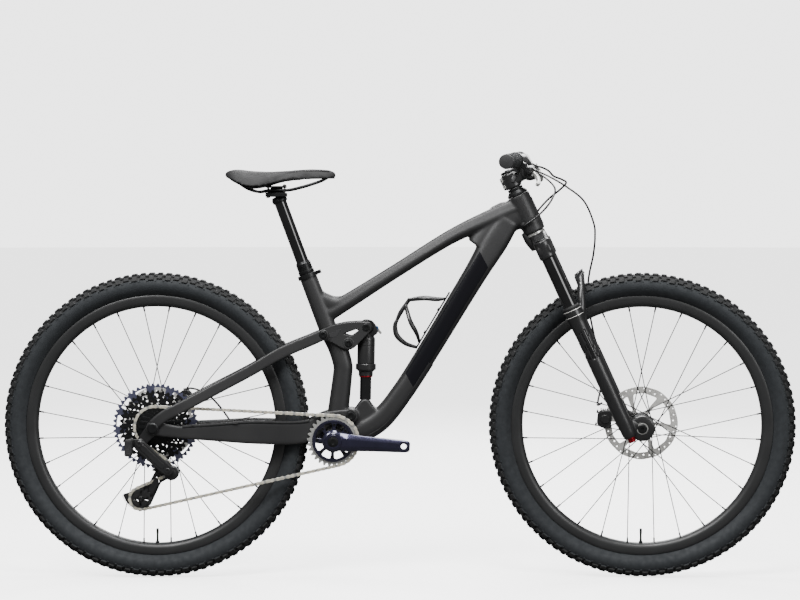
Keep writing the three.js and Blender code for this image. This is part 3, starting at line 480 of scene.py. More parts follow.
# ------------------------------------------------------------------ materials
class Nodes:
    """A material's node tree, with short ways to add to it."""

    def __init__(self, name, colour, roughness, metallic=0.0, coat=0.0, coat_roughness=0.1, sheen=0.0,
                 specular=0.5):
        self.material = bpy.data.materials.new(name)
        self.material.use_nodes = True
        self.tree = self.material.node_tree
        self.shader = self.tree.nodes["Principled BSDF"]
        self.colour = colour
        self.roughness = roughness
        self.set("Base Color", (*colour, 1))
        self.set("Roughness", roughness)
        self.set("Metallic", metallic)
        self.set("Coat Weight", coat)
        self.set("Coat Roughness", coat_roughness)
        self.set("Sheen Weight", sheen)
        self.set("Specular IOR Level", specular)
        self.place = self.add("ShaderNodeTexCoord").outputs["Object"]
        self.normal = None

    def set(self, socket, value):
        self.shader.inputs[socket].default_value = value

    def add(self, kind, **values):
        node = self.tree.nodes.new(kind)
        for key, value in values.items():
            setattr(node, key, value)
        return node

    def join(self, output, socket):
        self.tree.links.new(output, socket)

    def math(self, operation, a, b=0.0):
        node = self.add("ShaderNodeMath", operation=operation)
        for value, socket in ((a, node.inputs[0]), (b, node.inputs[1])):
            if isinstance(value, (int, float)):
                socket.default_value = value
            else:
                self.join(value, socket)
        return node.outputs[0]

    def noise(self, size, detail=3.0, stretch=None):
        """Noise whose lumps are about size millimetres."""
        node = self.add("ShaderNodeTexNoise")
        node.inputs["Scale"].default_value = 1 / (size * MM)
        node.inputs["Detail"].default_value = detail
        source = self.place
        if stretch:
            mapping = self.add("ShaderNodeMapping")
            mapping.inputs["Scale"].default_value = stretch
            self.join(source, mapping.inputs["Vector"])
            source = mapping.outputs[0]
        self.join(source, node.inputs["Vector"])
        return node.outputs["Fac"]

    def cells(self, size):
        node = self.add("ShaderNodeTexVoronoi")
        node.inputs["Scale"].default_value = 1 / (size * MM)
        self.join(self.place, node.inputs["Vector"])
        return node.outputs["Distance"]

    def waves(self, value, size):
        """A sine of value (in metres), one wave every size millimetres, from 0 to 1."""
        return self.math("MULTIPLY_ADD", self.math("SINE", self.math("MULTIPLY", value, TAU / (size * MM))),
                         0.5)

    def range(self, value, low, high, to_low, to_high):
        node = self.add("ShaderNodeMapRange")
        for socket, number in zip(node.inputs[1:5], (low, high, to_low, to_high)):
            socket.default_value = number
        self.join(value, node.inputs[0])
        return node.outputs[0]

    def tint(self, factor, low, high):
        """Drives the base colour between two colours."""
        mix = self.add("ShaderNodeMix", data_type="RGBA")
        mix.inputs[6].default_value = (*low, 1)
        mix.inputs[7].default_value = (*high, 1)
        self.join(factor, mix.inputs[0])
        self.join(mix.outputs[2], self.shader.inputs["Base Color"])
        return mix

    def vary(self, size, share, detail=3.0, stretch=None):
        """Colour and roughness that drift over the surface."""
        factor = self.range(self.noise(size, detail, stretch), 0.3, 0.7, 0.0, 1.0)
        low = tuple(c * (1 - share) for c in self.colour)
        high = tuple(c * (1 + share) for c in self.colour)
        self.tint(factor, low, high)
        spread = 0.35 * share * self.roughness
        rough = self.range(factor, 0.0, 1.0, self.roughness + spread, self.roughness - spread)
        self.join(rough, self.shader.inputs["Roughness"])
        return self

    def bump(self, height, depth):
        """Adds relief; depth is in millimetres."""
        node = self.add("ShaderNodeBump")
        node.inputs["Distance"].default_value = depth * MM
        self.join(height, node.inputs["Height"])
        if self.normal:
            self.join(self.normal, node.inputs["Normal"])
        self.normal = node.outputs[0]
        self.join(self.normal, self.shader.inputs["Normal"])
        return self

    def axis(self, index):
        split = self.add("ShaderNodeSeparateXYZ")
        self.join(self.place, split.inputs[0])
        return split.outputs[index]

    def radius(self):
        """The distance from the object's own Y axis."""
        x, z = self.axis(0), self.axis(2)
        return self.math("SQRT", self.math("ADD", self.math("MULTIPLY", x, x), self.math("MULTIPLY", z, z)))


# The down tube's plain panel, in metres: a point on its middle line, the line's direction, its two ends, its
# half width and how far out from the bike's middle it starts.
PANEL_FOOT = Vector((0.011, 0, 0.456))
PANEL_WAY = Vector((0.52, 0, 0.854))
PANEL_ENDS = 0.028, 0.372
PANEL_HALF = 0.0185
PANEL_OUT = 0.016
PANEL_SLANT = 0.6
PANEL_EDGE = 0.0005


def frame_paint():
    """Matt graphite with fine metal flake, and a gloss black panel along each side of the down tube."""
    made = Nodes("frame_paint", (0.03, 0.03, 0.031), 0.4, metallic=0.45, coat=0.15, coat_roughness=0.4)
    flake = made.noise(0.5, 2)
    drift = made.noise(90, 2)
    tone = made.range(made.math("ADD", made.math("MULTIPLY", flake, 0.5), made.math("MULTIPLY", drift, 0.5)),
                      0.35, 0.65, 0.0, 1.0)
    base = made.tint(tone, (0.025, 0.025, 0.026), (0.037, 0.037, 0.0375))
    # The panel lies where the distances along the tube and from its middle line say so.
    x = made.math("SUBTRACT", made.axis(0), PANEL_FOOT.x)
    z = made.math("SUBTRACT", made.axis(2), PANEL_FOOT.z)
    along = made.math("ADD", made.math("MULTIPLY", x, PANEL_WAY.x), made.math("MULTIPLY", z, PANEL_WAY.z))
    off = made.math("SUBTRACT", made.math("MULTIPLY", x, PANEL_WAY.z), made.math("MULTIPLY", z, PANEL_WAY.x))
    slant = made.math("ADD", along, made.math("MULTIPLY", off, PANEL_SLANT))
    low, high = PANEL_ENDS
    inside = made.math("MULTIPLY", made.range(slant, low, low + PANEL_EDGE, 0.0, 1.0),
                       made.range(slant, high, high + PANEL_EDGE, 1.0, 0.0))
    off_middle = made.math("ABSOLUTE", made.math("ADD", off, -PANEL_EDGE))
    width = made.range(off_middle, PANEL_HALF, PANEL_HALF + PANEL_EDGE, 1.0, 0.0)
    side = made.range(made.math("ABSOLUTE", made.axis(1)), PANEL_OUT, PANEL_OUT + 2 * PANEL_EDGE, 0.0, 1.0)
    panel = made.math("MULTIPLY", made.math("MULTIPLY", inside, width), side)
    mix = made.add("ShaderNodeMix", data_type="RGBA")
    mix.inputs[7].default_value = (0.006, 0.006, 0.009, 1)
    made.join(panel, mix.inputs[0])
    made.join(base.outputs[2], mix.inputs[6])
    made.join(mix.outputs[2], made.shader.inputs["Base Color"])
    made.join(made.range(panel, 0.0, 1.0, 0.46, 0.14), made.shader.inputs["Roughness"])
    return made.bump(flake, 0.015).material


def tyre_rubber():
    """Dark blue-grey sidewall rubber with fine casing threads, and blacker tread."""
    made = Nodes("tyre_rubber", (0.03, 0.034, 0.038), 0.72, sheen=0.08, specular=0.35)
    radius = made.radius()
    tread = made.range(radius, 0.3525, 0.3545, 0.0, 1.0)
    grime = made.range(made.noise(14, 4), 0.35, 0.7, 0.0, 1.0)
    wall = made.add("ShaderNodeMix", data_type="RGBA")
    wall.inputs[6].default_value = (0.013, 0.0155, 0.018, 1)
    wall.inputs[7].default_value = (0.019, 0.022, 0.025, 1)
    made.join(grime, wall.inputs[0])
    mix = made.tint(tread, (0.02, 0.02, 0.02), (0.0095, 0.01, 0.0105))
    made.join(wall.outputs[2], mix.inputs[6])
    made.join(made.range(grime, 0.0, 1.0, 0.78, 0.66), made.shader.inputs["Roughness"])
    made.bump(made.noise(0.9, 3), 0.12)
    return made.bump(made.waves(radius, 1.6), 0.03).material


def rim_finish():
    """Satin black rim with a faint brushed grain that runs round the wheel."""
    made = Nodes("rim_finish", (0.026, 0.0265, 0.027), 0.38, metallic=0.25)
    made.vary(60, 0.16)
    return made.bump(made.waves(made.radius(), 0.9), 0.008).material


def black_alloy():
    """Bead-blasted black anodised alloy."""
    made = Nodes("black_alloy", (0.013, 0.0135, 0.014), 0.36, metallic=0.55)
    return made.vary(9, 0.25).bump(made.noise(0.35, 2), 0.012).material


def cast_black():
    """Satin painted magnesium and carbon, with a slight ripple in the paint."""
    made = Nodes("cast_black", (0.012, 0.012, 0.0125), 0.33, coat=0.25, coat_roughness=0.25)
    return made.vary(35, 0.2).bump(made.noise(1.6, 2), 0.02).material


def gloss_black():
    """Hard-anodised sliding tubes."""
    made = Nodes("gloss_black", (0.007, 0.007, 0.0075), 0.13, metallic=0.3, coat=0.6, coat_roughness=0.06)
    return made.vary(25, 0.2).bump(made.noise(0.8, 2, (1, 1, 0.1)), 0.003).material


def slate_alloy(name, colour, roughness):
    """Glossy blue-black polished alloy."""
    made = Nodes(name, colour, roughness, metallic=0.7, coat=0.9, coat_roughness=0.06)
    return made.vary(22, 0.18).bump(made.noise(0.5, 2), 0.006).material


def chain_nickel():
    """Warm nickel plate."""
    made = Nodes("chain_nickel", (0.78, 0.74, 0.62), 0.34, metallic=0.55)
    return made.vary(7, 0.22).bump(made.noise(0.7, 3), 0.02).material


def rotor_steel():
    """Steel brushed round the disc."""
    made = Nodes("rotor_steel", (0.74, 0.73, 0.7), 0.36, metallic=0.55)
    made.vary(11, 0.12)
    return made.bump(made.waves(made.radius(), 0.55), 0.012).material


def ring_steel():
    """Grey steel, for chain rings, levers and bolts."""
    made = Nodes("ring_steel", (0.5, 0.5, 0.48), 0.38, metallic=0.7)
    return made.vary(5, 0.25).bump(made.noise(0.6, 3), 0.015).material


def grip_rubber():
    """Dull rubber with a fine pebble."""
    made = Nodes("grip_rubber", (0.016, 0.017, 0.018), 0.75, sheen=0.05, specular=0.3)
    return made.vary(8, 0.2).bump(made.cells(1.1), 0.12).material


def saddle_cover():
    """Synthetic leather: fine pebbled grain over a slow drift of tone."""
    made = Nodes("saddle_cover", (0.016, 0.016, 0.0165), 0.52, specular=0.16)
    made.vary(26, 0.16)
    made.bump(made.cells(0.85), 0.03)
    return made.bump(made.noise(0.28, 2), 0.01).material


def moulded_plastic():
    """Black glass-filled nylon."""
    made = Nodes("moulded_plastic", (0.016, 0.016, 0.017), 0.55)
    return made.vary(12, 0.2).bump(made.noise(0.45, 3), 0.04).material


def hose_black():
    """Smooth hose housing over a braid that shows faintly."""
    made = Nodes("hose_black", (0.011, 0.011, 0.012), 0.3, coat=0.3, coat_roughness=0.2)
    return made.vary(10, 0.2).bump(made.noise(0.9, 2), 0.02).material


def seal_rubber():
    """Soft black rubber."""
    made = Nodes("seal_rubber", (0.01, 0.01, 0.0105), 0.68, specular=0.35)
    return made.vary(6, 0.2).bump(made.noise(0.5, 2), 0.03).material


def anodised(name, colour):
    """Bright dyed alloy."""
    made = Nodes(name, colour, 0.3, metallic=0.8)
    return made.vary(4, 0.15).bump(made.noise(0.3, 2), 0.006).material


# A finish is a material and the record's slot that it belongs to.
PAINT = frame_paint(), "frame_paint"
TYRE = tyre_rubber(), "tyre_rubber"
RIM = rim_finish(), "black_carbon"
ALLOY = black_alloy(), "black_alloy"
CAST = cast_black(), "black_alloy"
CARBON = CAST[0], "black_carbon"
GLOSS = gloss_black(), "black_alloy"
SLATE = slate_alloy("slate_alloy", (0.026, 0.025, 0.055), 0.2), "slate_alloy"
# The largest cog's copy of the slate alloy is made lighter than the crank's. That extra lightness is painted
# light that the cog catches, not a paler alloy.
LIT_COG_SLATE = slate_alloy("slate_cog_painted_light", (0.11, 0.115, 0.19), 0.34), "slate_alloy"
NICKEL = chain_nickel(), "silver_steel"
ROTOR = rotor_steel(), "silver_steel"
RING = ring_steel(), "silver_steel"
GRIP = grip_rubber(), "grip_rubber"
COVER = saddle_cover(), "saddle_cover"
PLASTIC = moulded_plastic(), "black_carbon"
SOFT_PLASTIC = PLASTIC[0], "seal_rubber"
HOSE = hose_black(), "hose_black"
SEAL = seal_rubber(), "seal_rubber"
RED = anodised("red_alloy", (0.3, 0.008, 0.016)), "red_alloy"
BLUE = anodised("blue_alloy", (0.02, 0.12, 0.33)), "blue_alloy"
BRIGHT = anodised("bright_alloy", (0.62, 0.62, 0.6)), "silver_steel"


# ------------------------------------------------------------------ main frame
ROUND_BOX = oval(3.0)
ROUND = oval(2.3)
# Wide side faces that lean in towards the top, and narrow ones below that lean in towards the bottom.
TOP_TUBE_SECTION = rounded([(0.34, 0.5), (0.5, -0.14), (0.28, -0.5), (-0.28, -0.5), (-0.5, -0.14),
                            (-0.34, 0.5)], 0.1, 4)
DOWN_TUBE = [
    (-158, 337, 50, 52), (-120, 345, 56, 52), (-45, 386, 54, 52), (11, 456, 51, 56), (71.5, 551, 52, 58),
    (141, 666, 54, 58), (190, 747, 57, 56), (232, 818, 66, 52), (262, 868, 60, 46),
]
TOP_TUBE = [
    (-180, 640, 46, 36), (-130, 668, 38, 38), (-8, 745, 33, 41), (122, 826, 35, 45), (215, 870, 42, 47),
    (292, 903, 42, 44),
]
SEAT_TUBE = [
    (-217, 722, 42, 42), (-172, 605, 44, 42), (-150, 562, 47, 44), (-137, 520, 47, 46),
    (-137, 495, 47, 46), (-146, 420, 50, 48), (-158, 340, 50, 50),
]
SEAT_MOUTH_RADIUS = 21
SHOCK_WEB = [(-125, 380), (-104, 418), (-90, 436), (-74, 436), (-62, 415), (-30, 400), (-60, 360)]


def on_post(s):
    """A point on the seatpost's axis, s above the seat tube's mouth."""
    return POST_MOUTH + POST_AXIS * s


def on_steerer(z):
    """A point on the steering axis, z above the front axle's level."""
    return STEER @ Vector((0, 0, z))


def across(place, y0, y1, radius, sides=32, edge=0.8):
    """A round bar across the bike."""
    return rod(radius, (place[0], y0, place[2]), (place[0], y1, place[2]), sides, edge)


def drill(place, radius, sides=32):
    """A cutter right across the bike."""
    return across(place, -CUT_HALF, CUT_HALF, radius, sides, 0)


def build_frame():
    """The tubes, melted into one shell and bored."""
    web = slab(SHOCK_WEB, 10, -21, 21, chamfer=3)
    gusset = sweep([(-192, 678, 40, 34), (-160, 663, 44, 32), (-126, 670, 34, 32)], ROUND)
    throat = sweep([(196, 800, 70, 44), (250, 868, 84, 42), (300, 880, 60, 40)], ROUND)
    solids = [sweep(DOWN_TUBE, ROUND_BOX, 6), sweep(TOP_TUBE, TOP_TUBE_SECTION, 8),
              sweep(SEAT_TUBE, ROUND, 6), rod(SEAT_MOUTH_RADIUS, on_post(-130), on_post(0), 40),
              rod(HEAD_TUBE_RADIUS, on_steerer(HEAD_LOW), on_steerer(HEAD_HIGH), 48),
              across(CRANK, -40, 40, BRACKET_RADIUS, 48), across(MAIN_PIVOT, -26, 26, 17),
              across(ROCKER_PIVOT, -22, 22, 14), web, gusset, throat]
    cutters = [rod(17.7, on_post(-148), on_post(8), 40, 0),
               rod(15.8, on_steerer(HEAD_LOW - 9), on_steerer(HEAD_HIGH + 9), 40, 0), drill(CRANK, 20.3, 40),
               drill(MAIN_PIVOT, MAIN_BORE), drill(ROCKER_PIVOT, AXLE_BORE),
               plate(belt((SHOCK_FOOT.x, SHOCK_FOOT.z), (SHOCK_FOOT.x, SHOCK_FOOT.z + 40), 16, 24), -14.6,
                     14.6, chamfer=0)]
    shell = fused(new_object("frame_shell", solids), 2.6, 5, cutters)
    dress(shell, PAINT, "frame", ["main_frame"])


build_frame()


# ------------------------------------------------------------------ wheels
def carcass_point(phi, height=0.0):
    """A point on the tyre's skin: radius and y, phi round the section from the crown."""
    radial = (CARCASS_DEPTH + height) * math.cos(phi)
    return CARCASS_CENTRE + radial, (CARCASS_HALF + height) * math.sin(phi)


def tyre_carcass():
    profile = [carcass_point(math.radians(angle)) for angle in range(-122, 123, 6)]
    bead = [(319, 17), (RIM_OUTER + 0.3, 12.4), (311, 12), (311, -12), (RIM_OUTER + 0.3, -12.4), (319, -17)]
    return turned([*profile, *bead], 180)


def knob(theta, phi, length, width, height, skew=0.0):
    """One tread block on the tyre, tapered and chamfered."""
    layers = ((1.12, -1.2), (1.0, height - 1.0), (0.78, height))
    rings = []
    for share, lift in layers:
        ring = []
        for u, v in ((-1, -1), (1, -1), (1, 1), (-1, 1)):
            r, y = carcass_point(phi + share * v * width / 2 / CARCASS_HALF, lift)
            turn = theta + (share * u * length / 2 + skew * v) / TYRE_RADIUS
            ring.append(Vector((r * math.cos(turn), y, r * math.sin(turn))))
        rings.append(ring)
    return skin(rings)


def tread():
    """Centre, shoulder and side knobs, the same every other pitch."""
    shapes = []
    for i in range(KNOB_PITCHES):
        theta = TAU * i / KNOB_PITCHES
        half = theta + TAU / KNOB_PITCHES / 2
        wide = i % 2 == 0
        for side in (-1, 1):
            shapes.append(knob(theta, side * 0.2, 13 if wide else 11, 8 if wide else 6.5, KNOB_HEIGHT,
                               side * 0.8))
            shapes.append(knob(half, side * (0.6 if wide else 0.54), 8, 7.5, KNOB_HEIGHT - 0.8, -side * 1.0))
            shapes.append(knob(theta, side * (0.98 if wide else 0.9), 13.5, 8.5 if wide else 6,
                               KNOB_HEIGHT - 0.4, side * 0.6))
            shapes.append(knob(half, side * 1.17, 4.5, 3.6, 1.6))
    return shapes


RIM_PROFILE = [(RIM_OUTER, 14.3), (RIM_OUTER - 1, 14.9), (309, 15.2), (300, 14.8), (294, 12.6), (290, 9),
               (RIM_INNER, 4), (RIM_INNER, 0), (RIM_INNER, -4), (290, -9), (294, -12.6), (300, -14.8),
               (309, -15.2), (RIM_OUTER - 1, -14.9), (RIM_OUTER, -14.3), (RIM_OUTER, -13), (310.6, -12.6),
               (308, -11), (307, 0), (308, 11), (310.6, 12.6), (RIM_OUTER, 13)]


def spokes(flange_y, rim_y, flange_radius, first, straight):
    """One side's spokes and nipples. first is the rim angle of one spoke, and straight its side."""
    pitch = TAU / SPOKES_PER_SIDE
    wires, nipples = [], []
    for k in range(SPOKES_PER_SIDE):
        sign = straight if k % 2 == 0 else -straight
        end = first + k * pitch
        start = end - sign * SPOKE_CROSSES * pitch
        out = math.copysign(1.5, flange_y) * (1 if sign == straight else -1)
        hub = Vector((flange_radius * math.cos(start), flange_y + out, flange_radius * math.sin(start)))
        rim = Vector(((RIM_INNER + 3) * math.cos(end), rim_y, (RIM_INNER + 3) * math.sin(end)))
        elbow = Vector((hub.x, flange_y - out, hub.z))
        wires.append(tube([elbow, hub, hub.lerp(rim, 0.03), hub.lerp(rim, 0.5), rim], SPOKE_RADIUS, 8, 2))
        wires.append(rod(1.9, elbow, elbow - Vector((0, out, 0)) * 0.6, 10, 0.3))
        inward = (hub - rim).normalized()
        nipples.append(rod(NIPPLE_RADIUS, rim, rim + inward * NIPPLE_LENGTH, 10, 0.5))
    return wires, nipples


def valve():
    """A valve at the wheel's lowest point, with its rim nut and cap."""
    profile = [(0, 0), (3, 0), (3, 12), (2.6, 12.5), (2.6, 26), (3.2, 26.5), (3.2, 37), (2.2, 39), (0, 39)]
    stem = moved(turned(profile, 20), facing((0, 0, -RIM_INNER - 4), (0, 0, 1)))
    nut = button((0, 0, -RIM_INNER - 0.3), (0, 0, 1), 4.6, 3.4, 3.6, 4.4, 24)
    return [stem, nut]


def rotor_plate(y, thickness, bore):
    """A brake disc: a wavy braking band with slots, on swept arms."""
    edge = []
    for i in range(144):
        angle = TAU * i / 144
        reach = ROTOR_RADIUS - 0.9 * (1 - math.cos(12 * angle)) / 2
        edge.append(Vector((reach * math.cos(angle), reach * math.sin(angle))))
    holes = []
    for i in range(6):
        base = TAU * i / 6
        corners = []
        for r, turn in ((28, 0.10), (48, 0.02), (73, -0.05), (74, 0.42), (73, 0.78), (50, 0.88), (28, 0.92)):
            corners.append((r * math.cos(base + turn), r * math.sin(base + turn)))
        holes.append(rounded(corners, 5, 3))
    for i in range(36):
        angle = TAU * (i + 0.5) / 36
        reach = (78.5, 82, 85.5)[i % 3]
        holes.append(circle((reach * math.cos(angle), reach * math.sin(angle)), 1.7 if i % 3 else 2.1, 10))
    holes.append(circle((0, 0), bore, 36))
    return plate(edge, y - thickness / 2, y + thickness / 2, holes, 0.25)


FRONT_HUB = [(8, -54.5), (11.6, -54.5), (12, -54), (12, -46), (14, -44), (15, -38), (30.4, -33.6),
             (31, -33), (31, -29), (30.4, -28.4), (18, -24), (15.6, -16), (15, 0), (15.6, 16), (18, 26),
             (26.4, 30), (27, 30.6), (27, 33.6), (26.4, 34.2), (19, 37), (17.6, 38.6), (17.6, 49), (12, 50),
             (12, 54), (11.6, 54.5), (8, 54.5)]
REAR_HUB = [(6.4, -73.6), (9.6, -73.6), (10, -73.2), (10, -71.8), (16.6, -71.3), (17, -70.6), (17, -30),
            (21, -28.5), (27.4, -24.6), (28, -24), (28, -20.6), (27.4, -20), (20, -16), (17.4, -8), (17, 6),
            (17.8, 24), (20, 27.6), (27.4, 31), (28, 31.6), (28, 34.6), (27.4, 35.2), (19.4, 38.6),
            (17.4, 41), (17.4, 60.4), (16, 61.6), (10, 62), (10, 73.2), (9.6, 73.6), (6.4, 73.6)]


def build_wheel(end, place, hub, flanges, flange_radii, rotor_y):
    body = end + "_wheel"
    pitch = TAU / SPOKES_PER_SIDE
    low = -TAU / 4

    def add(name, shapes, finish, replaces=(), sharp=36):
        piece(f"{end}_{name}", shapes, finish, body, replaces, place, sharp, origin=place)

    add("tyre_carcass", [tyre_carcass()], TYRE, [end + "_tyre"], 50)
    add("tyre_knobs", tread(), TYRE, sharp=25)
    add("rim_hoop", [turned(RIM_PROFILE, 180)], RIM, [end + "_rim"], 30)
    right, right_nipples = spokes(flanges[0], -4, flange_radii[0], low - pitch / 4, 1)
    left, left_nipples = spokes(flanges[1], 4, flange_radii[1], low + pitch / 4, -1)
    add("spoke_wires_right", right, CAST, [end + "_spokes_right"])
    add("spoke_wires_left", left, CAST, [end + "_spokes_left"])
    add("spoke_nipples", [*right_nipples, *left_nipples], ALLOY)
    add("valve", valve(), ALLOY, sharp=30)
    add("hub_shell", [turned(hub, 64)], ALLOY, [end + "_hub"], 30)
    disc = rotor_plate(rotor_y, 1.8, 18)
    add("brake_disc", [disc], ROTOR, [end + "_rotor"])
    lock = turned([(17.9, rotor_y - 1), (24, rotor_y - 1), (24, rotor_y + 1.6), (22, rotor_y + 2.8),
                   (17.9, rotor_y + 2.8)], 48)
    notches = [screw((21 * math.cos(TAU * i / 8), rotor_y + 1.6, 21 * math.sin(TAU * i / 8)), (0, 1, 0),
                     1.5, 1.6) for i in range(8)]
    add("disc_lockring", [lock, *notches], ALLOY)


REAR_PLACE = Matrix.Translation(REAR_AXLE)
FRONT_PLACE = STEER @ at(FORK_OFFSET, 0, 0) @ turned_by(FRONT_WHEEL_TURN)
build_wheel("rear", REAR_PLACE, REAR_HUB, (-22, 33), (27.2, 27.2), REAR_ROTOR_Y)
build_wheel("front", FRONT_PLACE, FRONT_HUB, (-31, 32), (30, 26), FRONT_ROTOR_Y)


def both(*shapes):
    """The shapes and their mirror images."""
    return [*shapes, *(mirrored(shape) for shape in shapes)]


def standing(profile, sides=56):
    """A solid of revolution about Z, from [radius, z]."""
    return moved(turned(profile, sides), facing((0, 0, 0), (0, 0, 1)))


def half_shell(rows, low, high):
    """A guard that lies on a tube swept through rows, between two angles of its section, in degrees."""
    arc = [oval_point(math.radians(low + (high - low) * i / 14), 3.0) for i in range(15)]
    return sweep(rows, [p * 1.05 for p in arc] + [p * 0.99 for p in reversed(arc)], 6)


POST_TILT = math.atan2(-POST_AXIS.x, POST_AXIS.z)
POST = Matrix.Translation(POST_MOUTH) @ Matrix.Rotation(-POST_TILT, 4, "Y")


# ------------------------------------------------------------------ frame fittings
def build_frame_fittings():
    guard_rows = [(-100, 353, 55, 52), (-45, 386, 54, 52), (11, 456, 51, 56), (60, 532, 51.5, 57.5)]
    guard = half_shell(guard_rows, 205, 335)
    piece("down_tube_guard", [guard], SOFT_PLASTIC, "frame")
    stop = sweep([(300, 836, 10, 26), (313, 820, 20, 30), (322, 806, 18, 28), (326, 794, 8, 22)], ROUND, 5)
    piece("frame_bump_stop", [stop], SEAL, "frame")
    face = [(30.5, -9), (31.5, 0), (30.5, 9), (27, 9), (27, -9)]
    strip = []
    for z in (HEAD_LOW + 10, HEAD_LOW + 30, HEAD_HIGH - 45, HEAD_HIGH - 16):
        strip.append([Vector((x - 3.2, y, z)) for x, y in face])
    piece("head_tube_strip", [skin(strip)], SOFT_PLASTIC, "frame", place=STEER)
    cups = [plate(gear(16, 23.1, 24.4, 0.5), y0, y1, [circle((0, 0), 12.4, 40)], 0.4)
            for y0, y1 in ((-46.8, -40.8), (40.8, 46.8))]
    sleeve = turned([(12.4, -40), (19.4, -40), (19.4, 40), (12.4, 40)], 48)
    seals = [turned([(12.3, y), (19, y), (20.5, y + side * 0.8), (12.3, y + side * 1.4)], 48)
             for y, side in ((-46.9, 1), (46.9, -1))]
    piece("bottom_bracket_cups", [*cups, sleeve, *seals], ALLOY, "frame", ["bottom_bracket"],
          place=Matrix.Translation(CRANK), sharp=36)
    for name, node, place, reach, bore, head in (
            ("main_pivot_bolt", "main_pivot_axle", MAIN_PIVOT, 38.1, 7.3, 12),
            ("rocker_pivot_bolt", "rocker_pivot_axle", ROCKER_PIVOT, 31.3, 5.8, 10)):
        bolts = [across(place, -reach - 1, reach + 1, bore)]
        for side in (-1, 1):
            seat = (place.x, side * (reach - 0.4), place.z)
            bolts.append(moved(turned([(0, 0), (head, 0), (head, 1.2), (0, 1.2)], 40),
                               facing(seat, (0, side, 0))))
            bolts.append(screw((place.x, side * (reach + 0.7), place.z), (0, side, 0), head * 0.9, 2.3,
                               head * 0.42))
        piece(name, bolts, ALLOY, "frame", [node])
    plugs = []
    for x, y, z, radius in ((303, -28, 857, 7), (333, 26, 884, 6)):
        plugs.append(moved(turned([(0, -4), (radius, -4), (radius, 0), (radius - 1.5, 3), (3.4, 5), (0, 5)],
                                  28), facing((x - 2, y * 0.86, z), (0.5, y / 28, 0.1))))
    piece("cable_port_plugs", plugs, SEAL, "frame")


def build_seat_clamp():
    ring = standing([(SEAT_MOUTH_RADIUS + 0.4, -7), (24, -7), (24.3, -6.5), (24.3, 2.5), (23.6, 3.2),
                           (17.9, 3.2), (17.9, 0.4), (SEAT_MOUTH_RADIUS + 0.4, 0.4)])
    ears = [block(20.5, 34, 1.6, 9, -6, 2.8, 1.2), block(20.5, 34, -9, -1.6, -6, 2.8, 1.2)]
    bolt = rod(2.5, (29.5, -9.6, -1.6), (29.5, 9.6, -1.6), 20)
    head = screw((29.5, -9, -1.6), (0, -1, 0), 4.2, 3.4, 2.1)
    nut = screw((29.5, 9, -1.6), (0, 1, 0), 4.2, 2.0, 2.1)
    piece("seat_collar", [ring, *ears, bolt, head, nut], ALLOY, "frame", ["seat_clamp"], place=POST)


def build_seatpost():
    collar = [(15.4, -30), (17.3, -30), (17.3, 3.4), (19, 3.8), (19.3, 4.4), (19.3, 11.6), (18.8, 12.2),
              (18, 12.6), (18, 26), (18.4, 26.6), (18.4, 29), (17.8, 29.8), (17.4, 33), (16.6, 34.6),
              (15.4, 34.6)]
    grooves = [standing([(17.9, z), (18.9, z + 0.5), (18.9, z + 1.3), (17.9, z + 1.8)])
               for z in (15, 18.6, 22.2)]
    piece("dropper_collar", [standing(collar), *grooves], ALLOY, "frame",
          ["dropper_outer_tube"], place=POST)
    piece("dropper_stanchion", [standing([(0, 12), (POST_RADIUS, 12), (POST_RADIUS, 189), (0, 189)])], GLOSS,
          "seatpost", ["dropper_sliding_post"], place=POST)
    cradle = slab([(-322, 926), (-318, 924.4), (-276, 924.4), (-272, 926), (-272, 934), (-280, 935),
                            (-284, 941), (-310, 941), (-314, 935), (-322, 934)], 3, -14, 14, chamfer=1.5)
    tray = slab([(-322, 925.5), (-319, 924.4), (-275, 924.4), (-272, 925.5), (-272, 934.5),
                          (-322, 934.5)], 2, -29.6, 29.6, chamfer=1.6)
    cap = slab([(-321, 946.4), (-273, 946.4), (-275, 950.8), (-319, 950.8)], 1.5, -28.8, 28.8, chamfer=1)
    bridge = slab([(-312, 934), (-280, 934), (-283, 950), (-309, 950)], 3, -14, 14, chamfer=1.2)
    yoke = standing([(0, 187.4), (16.6, 187.4), (18.4, 190), (18.8, 196), (16, 203), (0, 205)], 48)
    bolts = []
    for x in (-317, -277):
        bolts.append(rod(2.5, (x, 0, 925), (x, 0, 950), 16))
        bolts.append(screw((x, 0, 924.8), (0, 0, -1), 4.4, 3.2, 2.2))
        bolts.append(rod(4.6, (x, -11, 950.4), (x, 11, 950.4), 20))
    piece("saddle_clamp_yoke", [moved(yoke, POST)], ALLOY, "seatpost")
    piece("saddle_clamp_cradle", [cradle, tray, cap, bridge], ALLOY, "seatpost", ["saddle_clamp"])
    piece("saddle_clamp_bolts", bolts, RING, "seatpost")
    rails = []
    for side in (-1, 1):
        path = [(-384, 34, 957), (-368, 33, 946), (-352, 30, 939.4), (-335, 24, 936.6), (-310, 22, 940.5),
                (-270, 22, 940.5), (-235, 20, 948), (-205, 14, 957), (-186, 8, 964), (-172, 6, 972)]
        rails.append(tube([(x, side * y, z) for x, y, z in path], 3.5, 16, 6))
    piece("saddle_rail_pair", rails, ALLOY, "seatpost", ["saddle_rails"], sharp=60)


# [x, top, edge height, half width, dip in the middle]
SADDLE = [(-420, 981, 977, 24, 0), (-417, 986, 971, 42, 0.8), (-404, 989, 963, 60, 2.5),
          (-384, 988, 952, 68, 4.5), (-360, 985, 944.5, 70.5, 6), (-338, 983.5, 945, 67, 6),
          (-312, 983, 951, 56, 6), (-285, 984.5, 959, 43, 5.5), (-262, 986.5, 964, 34, 5),
          (-237, 989, 966.5, 29, 4), (-212, 990.5, 967.5, 25, 2.5), (-188, 991, 968, 22.5, 1),
          (-168, 989.5, 969, 19.5, 0), (-156, 985.5, 972, 14.5, 0), (-151.8, 980, 975, 8, 0)]


